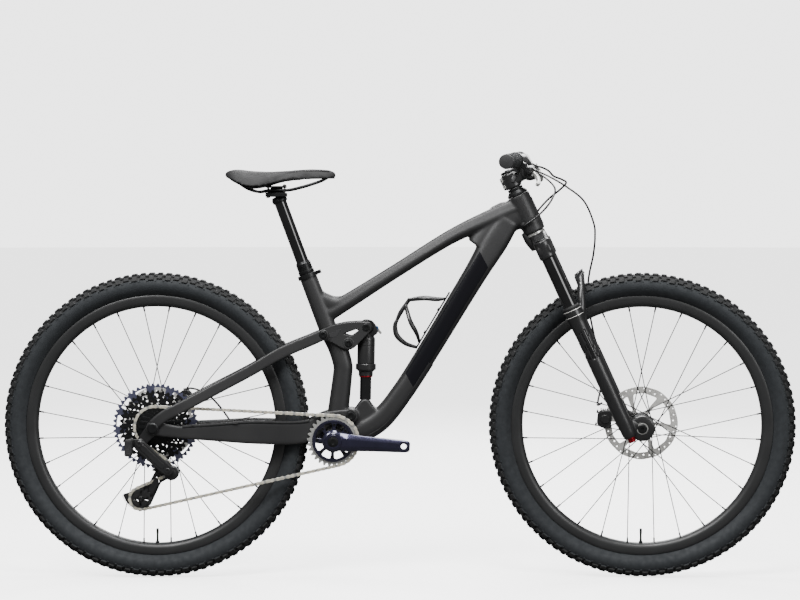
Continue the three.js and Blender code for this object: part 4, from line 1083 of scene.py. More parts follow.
def saddle_pad():
    """The padded top: a crowned shell with drooping flanks and a channel down the middle."""
    rings = []
    for x, top, edge, half, dip in smooth(SADDLE, 3):
        ring = []
        for i in range(25):
            t = -1 + 2 * i / 24
            droop = abs(t) ** 3.2
            channel = dip * math.exp(-(t * half / 9) ** 2) * 0.9
            y = half * (1.06 * t - 0.06 * t ** 3) if half > 20 else half * t
            ring.append(Vector((x, y, top - (top - edge) * droop - channel)))
        for i in range(23):
            t = 1 - 2 * (i + 1) / 24
            droop = abs(t) ** 3.2
            y = 0.94 * half * t
            ring.append(Vector((x, y, max(edge - 1.5, top - 13 - (top - edge - 7) * droop))))
        rings.append(ring)
    return skin(rings)


def padded(made, voxel, steps, swell, cap):
    """Blows the pad up a little with a cloth simulation, and keeps each point within cap of its place."""
    melt = made.modifiers.new("melt", "REMESH")
    melt.mode = "VOXEL"
    melt.voxel_size = voxel * MM
    applied(made)
    home = [v.co.copy() for v in made.data.vertices]
    cloth = made.modifiers.new("cloth", "CLOTH")
    cloth.settings.use_pressure = True
    cloth.settings.uniform_pressure_force = swell
    cloth.settings.effector_weights.gravity = 0
    cloth.settings.quality = 5
    cloth.point_cache.frame_start = 1
    cloth.point_cache.frame_end = steps
    for step in range(1, steps + 1):
        bpy.context.scene.frame_set(step)
    applied(made)
    bpy.context.scene.frame_set(1)
    for vertex, rest in zip(made.data.vertices, home):
        moved_by = vertex.co - rest
        if moved_by.length > cap * MM:
            vertex.co = rest + moved_by.normalized() * cap * MM
    ease = made.modifiers.new("ease", "SMOOTH")
    ease.factor = 0.5
    ease.iterations = 8
    finer = made.modifiers.new("finer", "SUBSURF")
    finer.levels = 1
    applied(made)
    return made


def build_saddle():
    pad = padded(new_object("saddle_pad", [saddle_pad()]), voxel=3.2, steps=20, swell=4, cap=3.5)
    tidy_mesh(pad.data, sharp=80)
    dress(pad, COVER, "seatpost", ["saddle"])
    base = []
    for x, top, edge, half, dip in smooth(SADDLE[2:-1], 3):
        ring = []
        for t in (-0.8, -0.55, -0.25, 0, 0.25, 0.55, 0.8):
            ring.append(Vector((x, t * half, top - 9 - (top - edge) * abs(t) ** 2.4)))
        for t in (0.86, 0.5, 0, -0.5, -0.86):
            ring.append(Vector((x, t * half, min(edge + 1.5, top - 14) - (1 - abs(t)) * 1.5)))
        base.append(ring)
    piece("saddle_base_shell", [skin(base)], PLASTIC, "seatpost", sharp=40)
    seams = []
    for side in (-1, 1):
        path = [Vector((x, side * half * 0.62, top - (top - edge) * 0.62 ** 3.2 + 1.1))
                for x, top, edge, half, dip in SADDLE[2:13]]
        seams.append(tube(path, 0.8, 6, 4))
    piece("saddle_welt", seams, COVER, "seatpost", sharp=80)


def build_bottle_cage():
    tube_way = Vector((0.511, 0, 0.859))
    away = Vector((-0.859, 0, 0.511))
    side = tube_way.cross(away)
    origin = Vector((106, 0, 608.5)) + away * 27.3
    cage = Matrix((away, side, tube_way)).transposed().to_4x4()
    cage.translation = origin
    wires = []
    for back, front in ((64, 14), (-60, 2)):
        for flip in (-1, 1):
            path = [(3, 6, back), (20, 33, 0.75 * back + 0.25 * front), (46, 38.5, (back + front) / 2),
                    (70, 22, 0.85 * front + 0.15 * back), (77, 0, front)]
            wires.append(tube([(x, flip * y, z) for x, y, z in path], [3.2, 4.4, 4.8, 4.4, 3.6], 14, 8))
    wires.append(tube([(2, 0, -74), (30, 0, -80), (58, 0, -74), (74, 0, -56), (77, 0, -40)],
                      [4, 5.5, 6.5, 5.5, 4], 14, 7))
    wires.append(tube([(77, 0, -42), (79, 0, -20), (77, 0, 14)], [4, 5.5, 4.5], 14, 6))
    lip = tube([Vector((77, y, 15 + 3 * abs(y) / 14)) for y in (-14, -7, 0, 7, 14)],
               [2.5, 4.5, 5, 4.5, 2.5], 12, 4)
    strip = slab([(0.6, -78), (4.2, -78), (4.2, 82), (0.6, 82)], 1, -9, 9, chamfer=1.4)
    bolts = [screw((4, 0, z), (1, 0, 0), 4.2, 2.6, 2) for z in (-32, 32)]
    piece("bottle_cage_wires", [*wires, lip, strip, *bolts], CARBON, "frame", ["bottle_cage"],
          place=cage, sharp=45)


# ------------------------------------------------------------------ rear suspension
CHAINSTAY = [
    (-588.5, 371, 34, 7, 82.9), (-562, 366, 32, 10, 82), (-520, 360, 30, 15, 74), (-440, 358, 42, 16, 58),
    (-360, 357, 54, 15, 47), (-260, 355, 55, 14, 43), (-216, 362, 48, 13, 39.5), (-170, 388, 36, 11, 33.2),
    (-116, 396, 33, 11, 32.3),
]
SEATSTAY = [
    (-588.5, 378, 26, 6, 90), (-560, 401, 27, 7, 90), (-520, 421, 27, 11, 84), (-440, 463, 27, 15, 65),
    (-360, 505, 27, 16, 49), (-285, 548, 28, 14, 44), (-215, 578, 27, 11, 40), (-182.5, 592.3, 26, 10, 38.5),
]
STAY_SECTION = rounded([(-0.5, -0.5), (0.5, -0.5), (0.5, 0.5), (-0.5, 0.5)], 0.2, 5)


def build_chainstays():
    arm = sweep([(x, z, tall, wide, y) for x, z, tall, wide, y in CHAINSTAY], STAY_SECTION, 6)
    eye = across(MAIN_PIVOT, 26.8, 37.8, 17, 40)
    end = across(REAR_AXLE, 79.4, 86.5, 17, 40)
    spacer = across(REAR_AXLE, 74.2, 80, 13, 40)
    bridge = slab([(-206, 366), (-196, 364), (-190, 378), (-193, 394), (-204, 396)], 5, -42, 42, chamfer=2)
    shell = fused(new_object("chainstay_pair", [*both(arm, eye, end, spacer), bridge]), 2.1, 4,
                  [drill(MAIN_PIVOT, MAIN_BORE), drill(REAR_AXLE, AXLE_BORE)])
    dress(shell, PAINT, "swingarm", ["chainstays"])
    cover = [(x, z + tall * 0.5 - 2, 8, wide + 3, y) for x, z, tall, wide, y in CHAINSTAY[2:7]]
    guard = sweep([(x, z, tall, wide, -y) for x, z, tall, wide, y in cover], ROUND_BOX, 8)
    ribs = []
    for i in range(9):
        x = -505 + i * 26
        row = min(CHAINSTAY, key=lambda r: abs(r[0] - x))
        ribs.append(block(x, x + 14, -row[4] - 5, -row[4] + 5, row[1] + row[2] / 2 - 1,
                          row[1] + row[2] / 2 + 2.6, 1.2))
    piece("chainstay_guard", [guard, *ribs], SEAL, "swingarm", sharp=40)
    bolts = [across(REAR_AXLE, -94, 94, 6)]
    bolts.append(button((REAR_AXLE.x, -93.3, REAR_AXLE.z), (0, -1, 0), 13, 1.4, 10.5, 3.2, 48))
    bolts.append(screw((REAR_AXLE.x, -93.6, REAR_AXLE.z), (0, -1, 0), 8.2, 2.8, 4.2))
    bolts.append(button((REAR_AXLE.x, 93.3, REAR_AXLE.z), (0, 1, 0), 10, 2, 8, 3, 40))
    piece("rear_through_axle", bolts, ALLOY, "swingarm", ["rear_axle"])


def build_seatstays():
    for side, name in ((-1, "right"), (1, "left")):
        rows = [(x, z, tall, wide, side * y) for x, z, tall, wide, y in SEATSTAY]
        eye = across(REAR_AXLE, side * 86.9, side * 93, 14, 40)
        top = across(STAY_PIVOT, side * 33.5, side * 43.5, 13, 40)
        shell = fused(new_object("seatstay_arm_" + name, [sweep(rows, STAY_SECTION, 6), eye, top]), 1.8, 4,
                      [drill(REAR_AXLE, AXLE_BORE), drill(STAY_PIVOT, STAY_BORE)])
        dress(shell, PAINT, "seatstays", ["seatstay_" + name])
        seat = (STAY_PIVOT.x, side * 43.2, STAY_PIVOT.z)
        washer = moved(turned([(0, 0), (10, 0), (10, 1), (0, 1)], 40), facing(seat, (0, side, 0)))
        bolt = [washer, screw((seat[0], side * 43.8, seat[2]), (0, side, 0), 8.4, 2.4, 3.6),
                across(STAY_PIVOT, side * 24, side * 44, 4.3)]
        piece("stay_pivot_bolt_" + name, bolt, ALLOY, "seatstays")


ROCKER = [
    (-196, 588), (-188, 604), (-160, 615), (-128, 622), (-95, 624), (-67, 622), (-66, 603), (-88, 580),
    (-108, 560), (-121, 554), (-135, 558), (-165, 575), (-186, 578),
]
ROCKER_WINDOW = [(-134, 594), (-100, 606), (-98, 600), (-115, 588)]


def build_rocker():
    holes = [rounded(ROCKER_WINDOW, 3), circle((ROCKER_PIVOT.x, ROCKER_PIVOT.z), 6.4, 32),
             circle((STAY_PIVOT.x, STAY_PIVOT.z), 4.6, 32)]
    arm = plate(rounded(ROCKER, 8, 5), 23, 31, holes, 1.6)
    recess = slab([(-172, 592), (-150, 603), (-138, 606), (-150, 588), (-165, 584)], 4, 30.4, 31.6, (), 0.3)
    pin = across(SHOCK_HEAD, -24, 24, 6)
    bosses = [turned([(9.9, 31), (13.4, 31), (13.4, 31.9), (12.6, 32.4), (9.9, 32.4)], 40)]
    boss = [moved(shape, Matrix.Translation((ROCKER_PIVOT.x, 0, ROCKER_PIVOT.z))) for shape in bosses]
    piece("rocker_plates", [*both(arm, *boss), pin], PAINT, "rocker", ["rocker_link"], sharp=25)
    piece("rocker_inlays", both(recess), PLASTIC, "rocker", sharp=25)
    heads = [screw((SHOCK_HEAD.x, side * 30.8, SHOCK_HEAD.z), (0, side, 0), 9, 2.8, 3.6) for side in (-1, 1)]
    piece("shock_head_bolts", heads, ALLOY, "rocker")


def build_shock():
    place = facing(SHOCK_FOOT, SHOCK_AXIS)
    shaft = turned([(0, 8), (13.9, 8), (13.9, 97), (0, 97)], 48)
    piece("shock_shaft_tube", [shaft], GLOSS, "shock_shaft_body", ["shock_shaft"], place=place)
    eye = turned([(4.2, -12), (11.4, -12), (12, -11.4), (12, 11.4), (11.4, 12), (4.2, 12)], 40)
    neck = rod(10.5, SHOCK_FOOT + SHOCK_AXIS * 5, SHOCK_FOOT + SHOCK_AXIS * 13, 36)
    base = [moved(eye, Matrix.Translation(SHOCK_FOOT)), neck, across(SHOCK_FOOT, -14.4, 14.4, 4),
            screw((SHOCK_FOOT.x, -14, SHOCK_FOOT.z), (0, -1, 0), 6.5, 2.4, 3)]
    piece("shock_foot_eye", base, ALLOY, "shock_shaft_body")
    ring = turned([(14.1, 0), (16, 0), (16.4, 0.8), (16.4, 2.8), (16, 3.6), (14.1, 3.6)], 48)
    piece("shock_travel_ring", [moved(ring, at(0, 63, 0))], RED, "shock_shaft_body", place=place)
    can = [(14.4, 66), (16.6, 66), (17.4, 67), (17.4, 76), (18.4, 77), (21.4, 79), (21.4, 94), (20.8, 95),
           (20.8, 96.4), (21.4, 97.4), (21.4, 156), (20.8, 158.4), (15, 168), (12, 172), (0, 172), (0, 150),
           (14.4, 150)]
    rings = [turned([(21.2, y), (22, y + 0.4), (22, y + 1.6), (21.2, y + 2)], 56)
             for y in (82, 86, 90, 140, 151)]
    piece("shock_can_body_shell", [turned(can, 56), *rings], CAST, "shock_can_body",
          ["shock_air_can"], place=place)
    head = turned([(11.7, -14), (15.4, -14), (16, -13.4), (16, 13.4), (15.4, 14), (11.7, 14)], 48)
    crest = slab([(-96, 590), (-99, 612), (-84, 628), (-66, 626), (-55, 612), (-50, 596),
                           (-62, 586)], 6, -12.5, 12.5, [circle((SHOCK_HEAD.x, SHOCK_HEAD.z), 15.8, 40)],
                  2)
    port = button((-98, 0, 606), (-1, 0, 0.4), 5, 8, 4, 9.4, 24)
    piece("shock_head_casting", [moved(head, Matrix.Translation(SHOCK_HEAD)), crest, port], CAST,
          "shock_can_body")
    collar = turned([(0, 0), (24, 0), (24.6, 1), (24.6, 13), (24, 14), (0, 14)], 56)
    piece("shock_volume_collar", [moved(moved(collar, at(0, 81, 0)), place)], CAST, "shock_can_body")
    lever_hub = button((LOCKOUT.x, -7, LOCKOUT.z), (0, -1, 0), 5, 2, 4.4, 3, 28)
    barrel = across(LOCKOUT, -7, 7, 5, 28)
    arm = plate(belt((LOCKOUT.x, LOCKOUT.z), (-45, 595), 3.6, 2.8), -6, 6, chamfer=1)
    piece("lockout_knob", [lever_hub, barrel], BLUE, "lockout_lever", ["shock_lockout_lever"])
    piece("lockout_arm", [arm], BRIGHT, "lockout_lever")


def caliper(outer, place):
    """A disc brake caliper with its caps, bolts and fins, made about the wheel's axis."""
    inner = -13
    body = slab([(72, -19), (80, -23), (98, -21), (107, -14), (107, 14), (98, 21), (80, 23),
                          (72, 19)], 6, inner, outer, chamfer=2.4)
    cap_out = button((88, outer - 0.4, 0), (0, 1, 0), 11, 2, 9.6, 3.2, 36)
    cap_in = button((88, inner + 0.4, 0), (0, -1, 0), 11, 2, 9.6, 3.2, 36)
    bolts = []
    for z in (-16, 16):
        bolts.append(rod(3, (106, 0, z), (110, 0, z), 16))
        bolts.append(screw((107, 0, z), (1, 0, 0), 4.4, 3.4, 2.2))
    fins = [block(84 + i * 5, 86.4 + i * 5, -3, 3, -25, -21, 0.6) for i in range(4)]
    return [moved(shape, place) for shape in (body, cap_out, cap_in, *bolts, *fins)]


def build_rear_caliper():
    place = Matrix.Translation(REAR_AXLE) @ at(0, REAR_ROTOR_Y, 0) @ turned_by(REAR_CALIPER_TURN)
    piece("rear_brake_caliper", caliper(12, place), CAST, "seatstays", ["rear_caliper"])
    hose = [(-531, 62, 452), (-512, 64, 455), (-488, 66, 448), (-462, 62, 432), (-436, 58, 404),
            (-416, 56, 376)]
    piece("rear_caliper_hose", [tube(hose, HOSE_RADIUS, 12, 7)], HOSE, "seatstays", sharp=60)


for build in (build_frame_fittings, build_seat_clamp, build_seatpost, build_saddle, build_bottle_cage,
              build_chainstays, build_seatstays, build_rocker, build_shock, build_rear_caliper):
    build()


# ------------------------------------------------------------------ drivetrain
CRANK_ROWS = [(-21, 0, 26, 10, -66), (-10, 0, 42, 13, -66), (16, 0, 43, 13, -66), (36, 0, 42, 17, -69),
              (80, 0, 36, 15, -73), (150, 0, 31, 13, -78), (177, 0, 28, 12, -80), (185, 0, 18, 10, -80)]
CRANK_SECTION = rounded([(-0.5, -0.36), (-0.5, 0.36), (-0.3, 0.5), (0.16, 0.5), (0.5, 0.2), (0.5, -0.2),
                         (0.16, -0.5), (-0.3, -0.5)], 0.05, 2)


def crank_bosses():
    """The round parts of the right crank: the axle's boss, its ring and the pedal's boss."""
    boss = turned([(12.2, -75.4), (19.6, -75.4), (21, -74), (21, -62), (20, -60), (12.2, -60)], 56)
    ring = turned([(13, -77), (16.6, -77), (17.2, -76.4), (17.2, -75), (13, -75)], 48)
    pedal = moved(turned([(7, -86.6), (12.6, -86.6), (13.5, -85.6), (13.5, -75), (12.6, -74), (7, -74)],
                         40), at(PEDAL_REACH, 0, 0))
    return [boss, ring, pedal]


def build_cranks():
    right = Matrix.Translation(CRANK) @ turned_by(CRANK_TURN)
    left = right @ Matrix.Rotation(math.pi, 4, "Y")
    spider = plate(circle((0, 0), 50, 96), -53.4, -50.5, windows(8, 27, 44, 0.7, 0.5, 5), 0.5)
    rim = turned([(46.4, -55.2), (50, -54.8), (50.6, -54), (50.6, -53), (46.4, -53)], 96)
    hub = turned([(12.3, -60), (22, -60), (26, -57), (27, -53), (27, -50.5), (12.3, -50.5)], 64)
    piece("crank_spider", [*crank_bosses(), spider, rim, hub], SLATE, "crank", ["crank_right"],
          place=right, sharp=28)
    piece("crank_boss_left", [mirrored(shape) for shape in crank_bosses()], SLATE, "crank",
          ["crank_left"], place=left, sharp=28)
    arm = sweep(CRANK_ROWS, CRANK_SECTION, 6)
    hole = across((PEDAL_REACH, 0, 0), -100, -60, 7.2, 32, 0)
    for name, place, sided in (("right", right, lambda shape: shape), ("left", left, mirrored)):
        made = new_object("crank_arm_" + name, [sided(arm)], place)
        tidy_mesh(made.data)
        made = fused(made, 0, 0, [moved(sided(hole), place)])
        tidy_mesh(made.data, 0.7, 28)
        dress(made, SLATE, "crank")
    cap = [button((0, side * 75.4, 0), (0, side, 0), 12.6, 0.6, 11.4, 1.2, 40) for side in (-1, 1)]
    keys = [screw((0, side * 76, 0), (0, side, 0), 9.4, 1.4, 4.6) for side in (-1, 1)]
    piece("crank_bolt_caps", [*cap, *keys, across((0, 0, 0), -70, 70, 11.8)], ALLOY, "crank",
          place=right, sharp=28)
    bolts = [screw((39 * math.cos(a), -53.2, 39 * math.sin(a)), (0, -1, 0), 3.4, 1.8, 1.7)
             for a in (TAU * (i + 0.5) / 8 + TAU / 16 for i in range(8))]
    piece("chainring_bolts", bolts, ALLOY, "crank", place=right, sharp=28)
    pitch = CHAIN_PITCH / 2 / math.sin(math.pi / RING_TEETH)
    teeth = plate(gear(RING_TEETH, pitch - 4.6, pitch + 2.6, 0.26), -50.1, -47.9,
                  [circle((0, 0), 50.8, 96)], 0.35)
    piece("chainring_teeth", [teeth], RING, "crank", ["chainring"], place=right, sharp=28)


def cog_radius(teeth):
    """The pitch radius of a chain wheel."""
    return CHAIN_PITCH / 2 / math.sin(math.pi / teeth)


def build_cassette():
    """Toothed cogs with windows, the pins between them and their core."""
    small, pins = [], []
    for i, teeth in enumerate(COG_TEETH):
        radius = cog_radius(teeth)
        y = CHAIN_Y + (i - COG_TEETH.index(CHAIN_COG)) * COG_STEP
        big = teeth == COG_TEETH[-1]
        inner = 17.8 if teeth < 21 else cog_radius(COG_TEETH[i - (2 if big else 1)]) - 6.5
        holes = [circle((0, 0), inner, 48)]
        if teeth > 24:
            holes += windows(12 if big else 18, inner + 3.4, radius - 7, 0.6 if big else 0.5, 0.25 * i, 3)
        shape = plate(gear(teeth, radius - 3.8, radius + 2.2, 0.24), y - 0.85, y + 0.85, holes, 0.25)
        if big:
            # The largest cog takes the lighter slate copy, whose colour holds painted light.
            piece("cassette_largest_cog", [shape], LIT_COG_SLATE, "cassette", place=REAR_PLACE,
                  origin=REAR_PLACE, sharp=28)
        else:
            small.append(shape)
        if i:
            reach = cog_radius(COG_TEETH[i - 1]) - 5.4
            for k in range(10):
                turn = TAU * (k + 0.5) / 10 + 0.6 * i
                if reach > 20:
                    spot = (reach * math.cos(turn), 0, reach * math.sin(turn))
                    pins.append(across(spot, y - COG_STEP + 0.6, y - 0.6, 1.5, 10, 0.2))
    core = turned([(17.6, -72.4), (20.6, -72.4), (21, -71.6), (21, -60), (22.6, -58), (23, -42), (27, -36),
                   (30, -33.4), (17.6, -33.4)], 64)
    lock = block(19, 21.6, -72.6, -69, -1.4, 1.4, 0.3)
    locks = [moved(lock, Matrix.Rotation(TAU * i / 12, 4, "Y")) for i in range(12)]
    piece("cassette_cogs", small, ALLOY, "cassette", ["cassette"], place=REAR_PLACE, origin=REAR_PLACE,
          sharp=28)
    piece("cassette_core", [core, *pins, *locks], ALLOY, "cassette", place=REAR_PLACE, sharp=28)


def chain_loop():
    """Points a chain pitch apart round the chainring, the cog and the two pulleys."""
    wheels = [(CRANK, cog_radius(RING_TEETH), 1), (REAR_AXLE, cog_radius(CHAIN_COG), 1), (GUIDE, 22, -1),
              (TENSION, 27, 1)]
    spans = []
    for i, (a, ra, sa) in enumerate(wheels):
        b, rb, sb = wheels[(i + 1) % 4]
        gap = Vector((b.x - a.x, b.z - a.z))
        h = math.atan2(gap.y, gap.x) + math.asin((sa * ra - sb * rb) / gap.length)
        side = Vector((math.sin(h), -math.cos(h)))
        spans.append((Vector((a.x, a.z)) + sa * ra * side, Vector((b.x, b.z)) + sb * rb * side))
    fine = []
    for i, (centre, radius, sense) in enumerate(wheels):
        arrive, leave = spans[i - 1][1], spans[i][0]
        mid = Vector((centre.x, centre.z))
        a0 = math.atan2(*(arrive - mid).yx)
        turn = (math.atan2(*(leave - mid).yx) - a0) * sense % TAU
        for k in range(41):
            a = a0 + sense * turn * k / 40
            fine.append(mid + radius * Vector((math.cos(a), math.sin(a))))
    fine.append(fine[0])
    lengths = [(fine[i + 1] - fine[i]).length for i in range(len(fine) - 1)]
    count = 2 * round(sum(lengths) / CHAIN_PITCH / 2)
    step = sum(lengths) / count
    points, k, done = [], 0, 0.0
    for i in range(count):
        want = i * step
        while done + lengths[k] < want:
            done += lengths[k]
            k += 1
        points.append(fine[k].lerp(fine[k + 1], (want - done) / lengths[k]))
    return points


def link_outline(length):
    """A chain link's plate, waisted between its two pins."""
    outline = []
    for centre, first in ((0.0, math.pi / 2), (length, -math.pi / 2)):
        for k in range(7):
            a = first + math.pi * k / 6
            outline.append(Vector((centre + 4.0 * math.cos(a), 4.0 * math.sin(a))))
        if centre == 0.0:
            outline.append(Vector((length / 2, -3.0)))
    outline.append(Vector((length / 2, 3.0)))
    return outline


def build_chain():
    points = chain_loop()
    outer_links, inner_links = [], []
    for i, p in enumerate(points):
        q = points[(i + 1) % len(points)]
        heading = math.atan2(q.y - p.y, q.x - p.x)
        place = at(p.x, CHAIN_Y, p.y) @ Matrix.Rotation(-heading, 4, "Y")
        outline = link_outline((q - p).length)
        low, high = (1.1, 2.0) if i % 2 else (2.1, 3.0)
        shapes = inner_links if i % 2 else outer_links
        for side in (-1, 1):
            y0, y1 = sorted((side * low, side * high))
            shapes.append(moved(plate(outline, y0, y1, chamfer=0.2), place))
        inner_links.append(across((p.x, 0, p.y), CHAIN_Y - 1.2, CHAIN_Y + 1.2, 3.6, 12, 0.1))
        outer_links.append(across((p.x, 0, p.y), CHAIN_Y - 3.4, CHAIN_Y + 3.4, 1.7, 10, 0.2))
    for name, shapes, material, nodes in (("chain_outer_links", outer_links, NICKEL, ["chain"]),
                                          ("chain_inner_links", inner_links, RING, [])):
        piece(name, shapes, material, ("frame", "swingarm"), nodes, sharp=35,
              bend=((-225, CHAIN_Y, 340), (-490, CHAIN_Y, 365)))


CAGE = [
    (-534, 262), (-538, 274), (-552, 276), (-572, 284), (-584, 276), (-588, 262), (-604, 232), (-640, 214),
    (-668, 207), (-658, 186), (-640, 171), (-618, 168), (-600, 180), (-574, 236), (-548, 250),
]


def build_derailleur():
    """The mount, battery box, link, knuckle, cage and pulleys."""
    base = plate(belt((REAR_AXLE.x, REAR_AXLE.z), (LINK_UPPER.x, LINK_UPPER.z), 15, 12), -79, -74.2,
                 chamfer=1.4)
    shelf = slab([(-645, 324), (-620, 322), (-612, 336), (-622, 344), (-645, 344)], 4, -81, -74.4,
                  chamfer=1.4)
    tongue = across(LINK_UPPER, -81.5, -74.4, 12, 36)
    cap = screw((LINK_UPPER.x, -93, LINK_UPPER.z), (0, -1, 0), 8, 2.6, 3.2)
    upper = across(LINK_UPPER, -81.2, -74.2, 12.4, 40)
    piece("derailleur_mount", [base, shelf, tongue, upper], CAST, "swingarm", ["derailleur_base"], sharp=28)
    case = slab([(-656, 304), (-640, 303), (-637.4, 310), (-637.4, 344), (-642, 346), (-656, 343)],
                         4, -96.8, -74.2, chamfer=2.4)
    latch = slab([(-654, 334), (-640, 334), (-640, 341), (-654, 341)], 2, -97.2, -92, chamfer=0.6)
    lines = [block(-653, -641, -97.1, -95, 310 + 5 * k, 311.6 + 5 * k, 0.4) for k in range(4)]
    piece("derailleur_battery_box", [case, latch, *lines], PLASTIC, "swingarm", sharp=28)
    link = slab([(-634, 340), (-622, 347), (-608, 338), (-541, 277), (-540, 262), (-552, 256),
                          (-566, 262), (-632, 322)], 6, -93, -85.2, chamfer=2.6)
    ridge = slab([(-620, 334), (-610, 332), (-560, 284), (-562, 272), (-572, 276), (-620, 322)],
                          4, -94.6, -92, chamfer=1.2)
    joints = [screw((spot.x, -93.4, spot.z), (0, -1, 0), 6, 2, 2.6) for spot in (LINK_UPPER, LINK_LOWER)]
    piece("derailleur_link_arm", [link, ridge, *joints, cap], CAST, "derailleur_link",
          ["derailleur_link"], sharp=28)
    knuckle = [across(CAGE_PIVOT, -81.4, -60.2, 17, 48, 2), across(LINK_LOWER, -81.5, -62, 11, 36),
               plate(belt((CAGE_PIVOT.x, CAGE_PIVOT.z), (LINK_LOWER.x - 6, LINK_LOWER.z + 12), 14, 9), -80,
                     -63, chamfer=2.4), screw((CAGE_PIVOT.x, -81, CAGE_PIVOT.z), (0, -1, 0), 11, 2.6, 4)]
    rings = [moved(turned([(16.8, y), (17.8, y + 0.6), (17.8, y + 1.8), (16.8, y + 2.4)], 48),
                   Matrix.Translation(CAGE_PIVOT)) for y in (-76, -70, -65)]
    piece("derailleur_knuckle_body", [*knuckle, *rings], CAST, "derailleur_knuckle",
          ["derailleur_knuckle"], sharp=28)
    guide, tension = (GUIDE.x, GUIDE.z), (TENSION.x, TENSION.z)
    cuts = [rounded([(-585, 250), (-578, 238), (-594, 208), (-602, 219), (-600, 227)], 3),
            circle(guide, 3.2, 16), circle(tension, 3.2, 16)]
    cuts += [[p + Vector(tension) for p in loop] for loop in windows(4, 9, 19.5, 0.66, 0.5, 3)]
    cuts += [[p + Vector(guide) for p in loop] for loop in windows(3, 7, 12.5, 0.6, 0.2, 2)]
    outer = plate(rounded(CAGE, 6, 4), -56.5, -54.1, cuts, 0.6)
    inner = plate(rounded(CAGE, 6, 4), -44, -42, cuts, 0.5)
    bolts = [across(spot, -57, -42, 3, 18) for spot in (GUIDE, TENSION)]
    heads = [screw((spot.x, -56.2, spot.z), (0, -1, 0), 6, 2.2, 2.6) for spot in (GUIDE, TENSION)]
    hub = across(CAGE_PIVOT, -59.6, -54, 13, 40)
    piece("derailleur_cage_plates", [outer, inner, *bolts, *heads, hub], CAST, "derailleur_cage",
          ["derailleur_cage"], sharp=28)
    for name, spot, pitch, teeth in (("guide", GUIDE, 22, 11), ("tension", TENSION, 27, 13)):
        wheel = plate(gear(teeth, pitch - 4.2, pitch + 1.6, 0.24), -50.4, -47.6,
                      [circle((0, 0), 3.3, 20), *windows(5, 8, pitch - 8, 0.6, 0, 2)], 0.4)
        core = turned([(3.3, -51.4), (6.6, -51.4), (7, -50.6), (7, -47.4), (6.6, -46.6), (3.3, -46.6)], 32)
        piece(name + "_pulley_wheel", [wheel, core], PLASTIC, name + "_pulley", [name + "_pulley"],
              place=Matrix.Translation((spot.x, 0, spot.z)), sharp=28)


# ------------------------------------------------------------------ fork and headset
def on_legs(shape):
    """A shape made about the middle line, on both fork legs."""
    return [moved(shape, at(LEG_AHEAD, side * LEG_SIDE, 0)) for side in (-1, 1)]


def along_x(shape):
    """A plate drawn in y and z instead of x and z, and thick along x (its y1 side points back)."""
    return moved(shape, Matrix.Rotation(math.pi / 2, 4, "Z"))


def build_fork():
    """The crown, steerer, stanchions and headset."""
    crown = along_x(plate(rounded([(-88, 474), (-88, 500), (-62, 514), (-28, 530), (28, 530), (62, 514),
                                   (88, 500), (88, 474), (50, 476), (42, 497), (24, 505), (-24, 505),
                                   (-42, 497), (-50, 476)], 10, 4), -24, 14, chamfer=5))
    sockets = on_legs(rod(21, (0, 0, CROWN_HEIGHT), (0, 0, 511), 40, 2))
    neck = rod(23.4, (0, 0, 508), (0, 0, 531), 48, 2)
    shell = fused(new_object("fork_crown", [crown, *sockets, neck], STEER), 2.0, 4)
    dress(shell, CAST, "steerer")
    race = standing([(14.4, 526), (22, 526), (24, 528), (24, 533), (22, 534.6), (14.4, 534.6)])
    steerer = standing([(0, 520), (14.2, 520), (14.2, 689), (0, 689)], 40)
    piece("headset_lower_race", [race], BRIGHT, "steerer", place=STEER)
    piece("steerer_tube", [steerer], ALLOY, "steerer", place=STEER)
    legs = on_legs(rod(STANCHION_RADIUS, (0, 0, 190), (0, 0, 500), 48))
    caps = on_legs(standing([(0, 510), (15, 510), (15, 512), (13, 514), (0, 514)], 36))
    piece("fork_stanchions", legs, GLOSS, "steerer", ["fork_crown_and_stanchions"], place=STEER)
    piece("fork_top_caps", caps, ALLOY, "steerer", place=STEER)
    cover = standing([(15, 632.4), (24, 632.4), (25.6, 633.6), (24.8, 638), (21, 642.4), (18.6, 645),
                      (15, 645)])
    spacer = standing([(14.6, 645.3), (18.4, 645.3), (18.8, 646), (18.8, 651), (18.4, 651.7), (14.6, 651.7)])
    top = standing([(0, 690), (17.4, 690.2), (18, 691), (17.6, 694.6), (15.6, 697), (0, 697.4)], 48)
    piece("headset_top", [cover, spacer, top, screw((0, 0, 697), (0, 0, 1), 6, 1.8, 3)], ALLOY, "steerer",
          place=STEER)


# A fork leg, [radius, height] from its foot to its seal and back down its bore.
LEG_PROFILE = [(0, -8), (13, -8), (15.5, -5), (17, 4), (18.2, 30), (19.2, 90), (19.6, 180), (20, 270),
               (21, 300), (22.4, 312), (22.4, 331), (21.6, 333.6), (18.2, 334), (18.2, 300), (18.2, 200),
               (0, 199)]


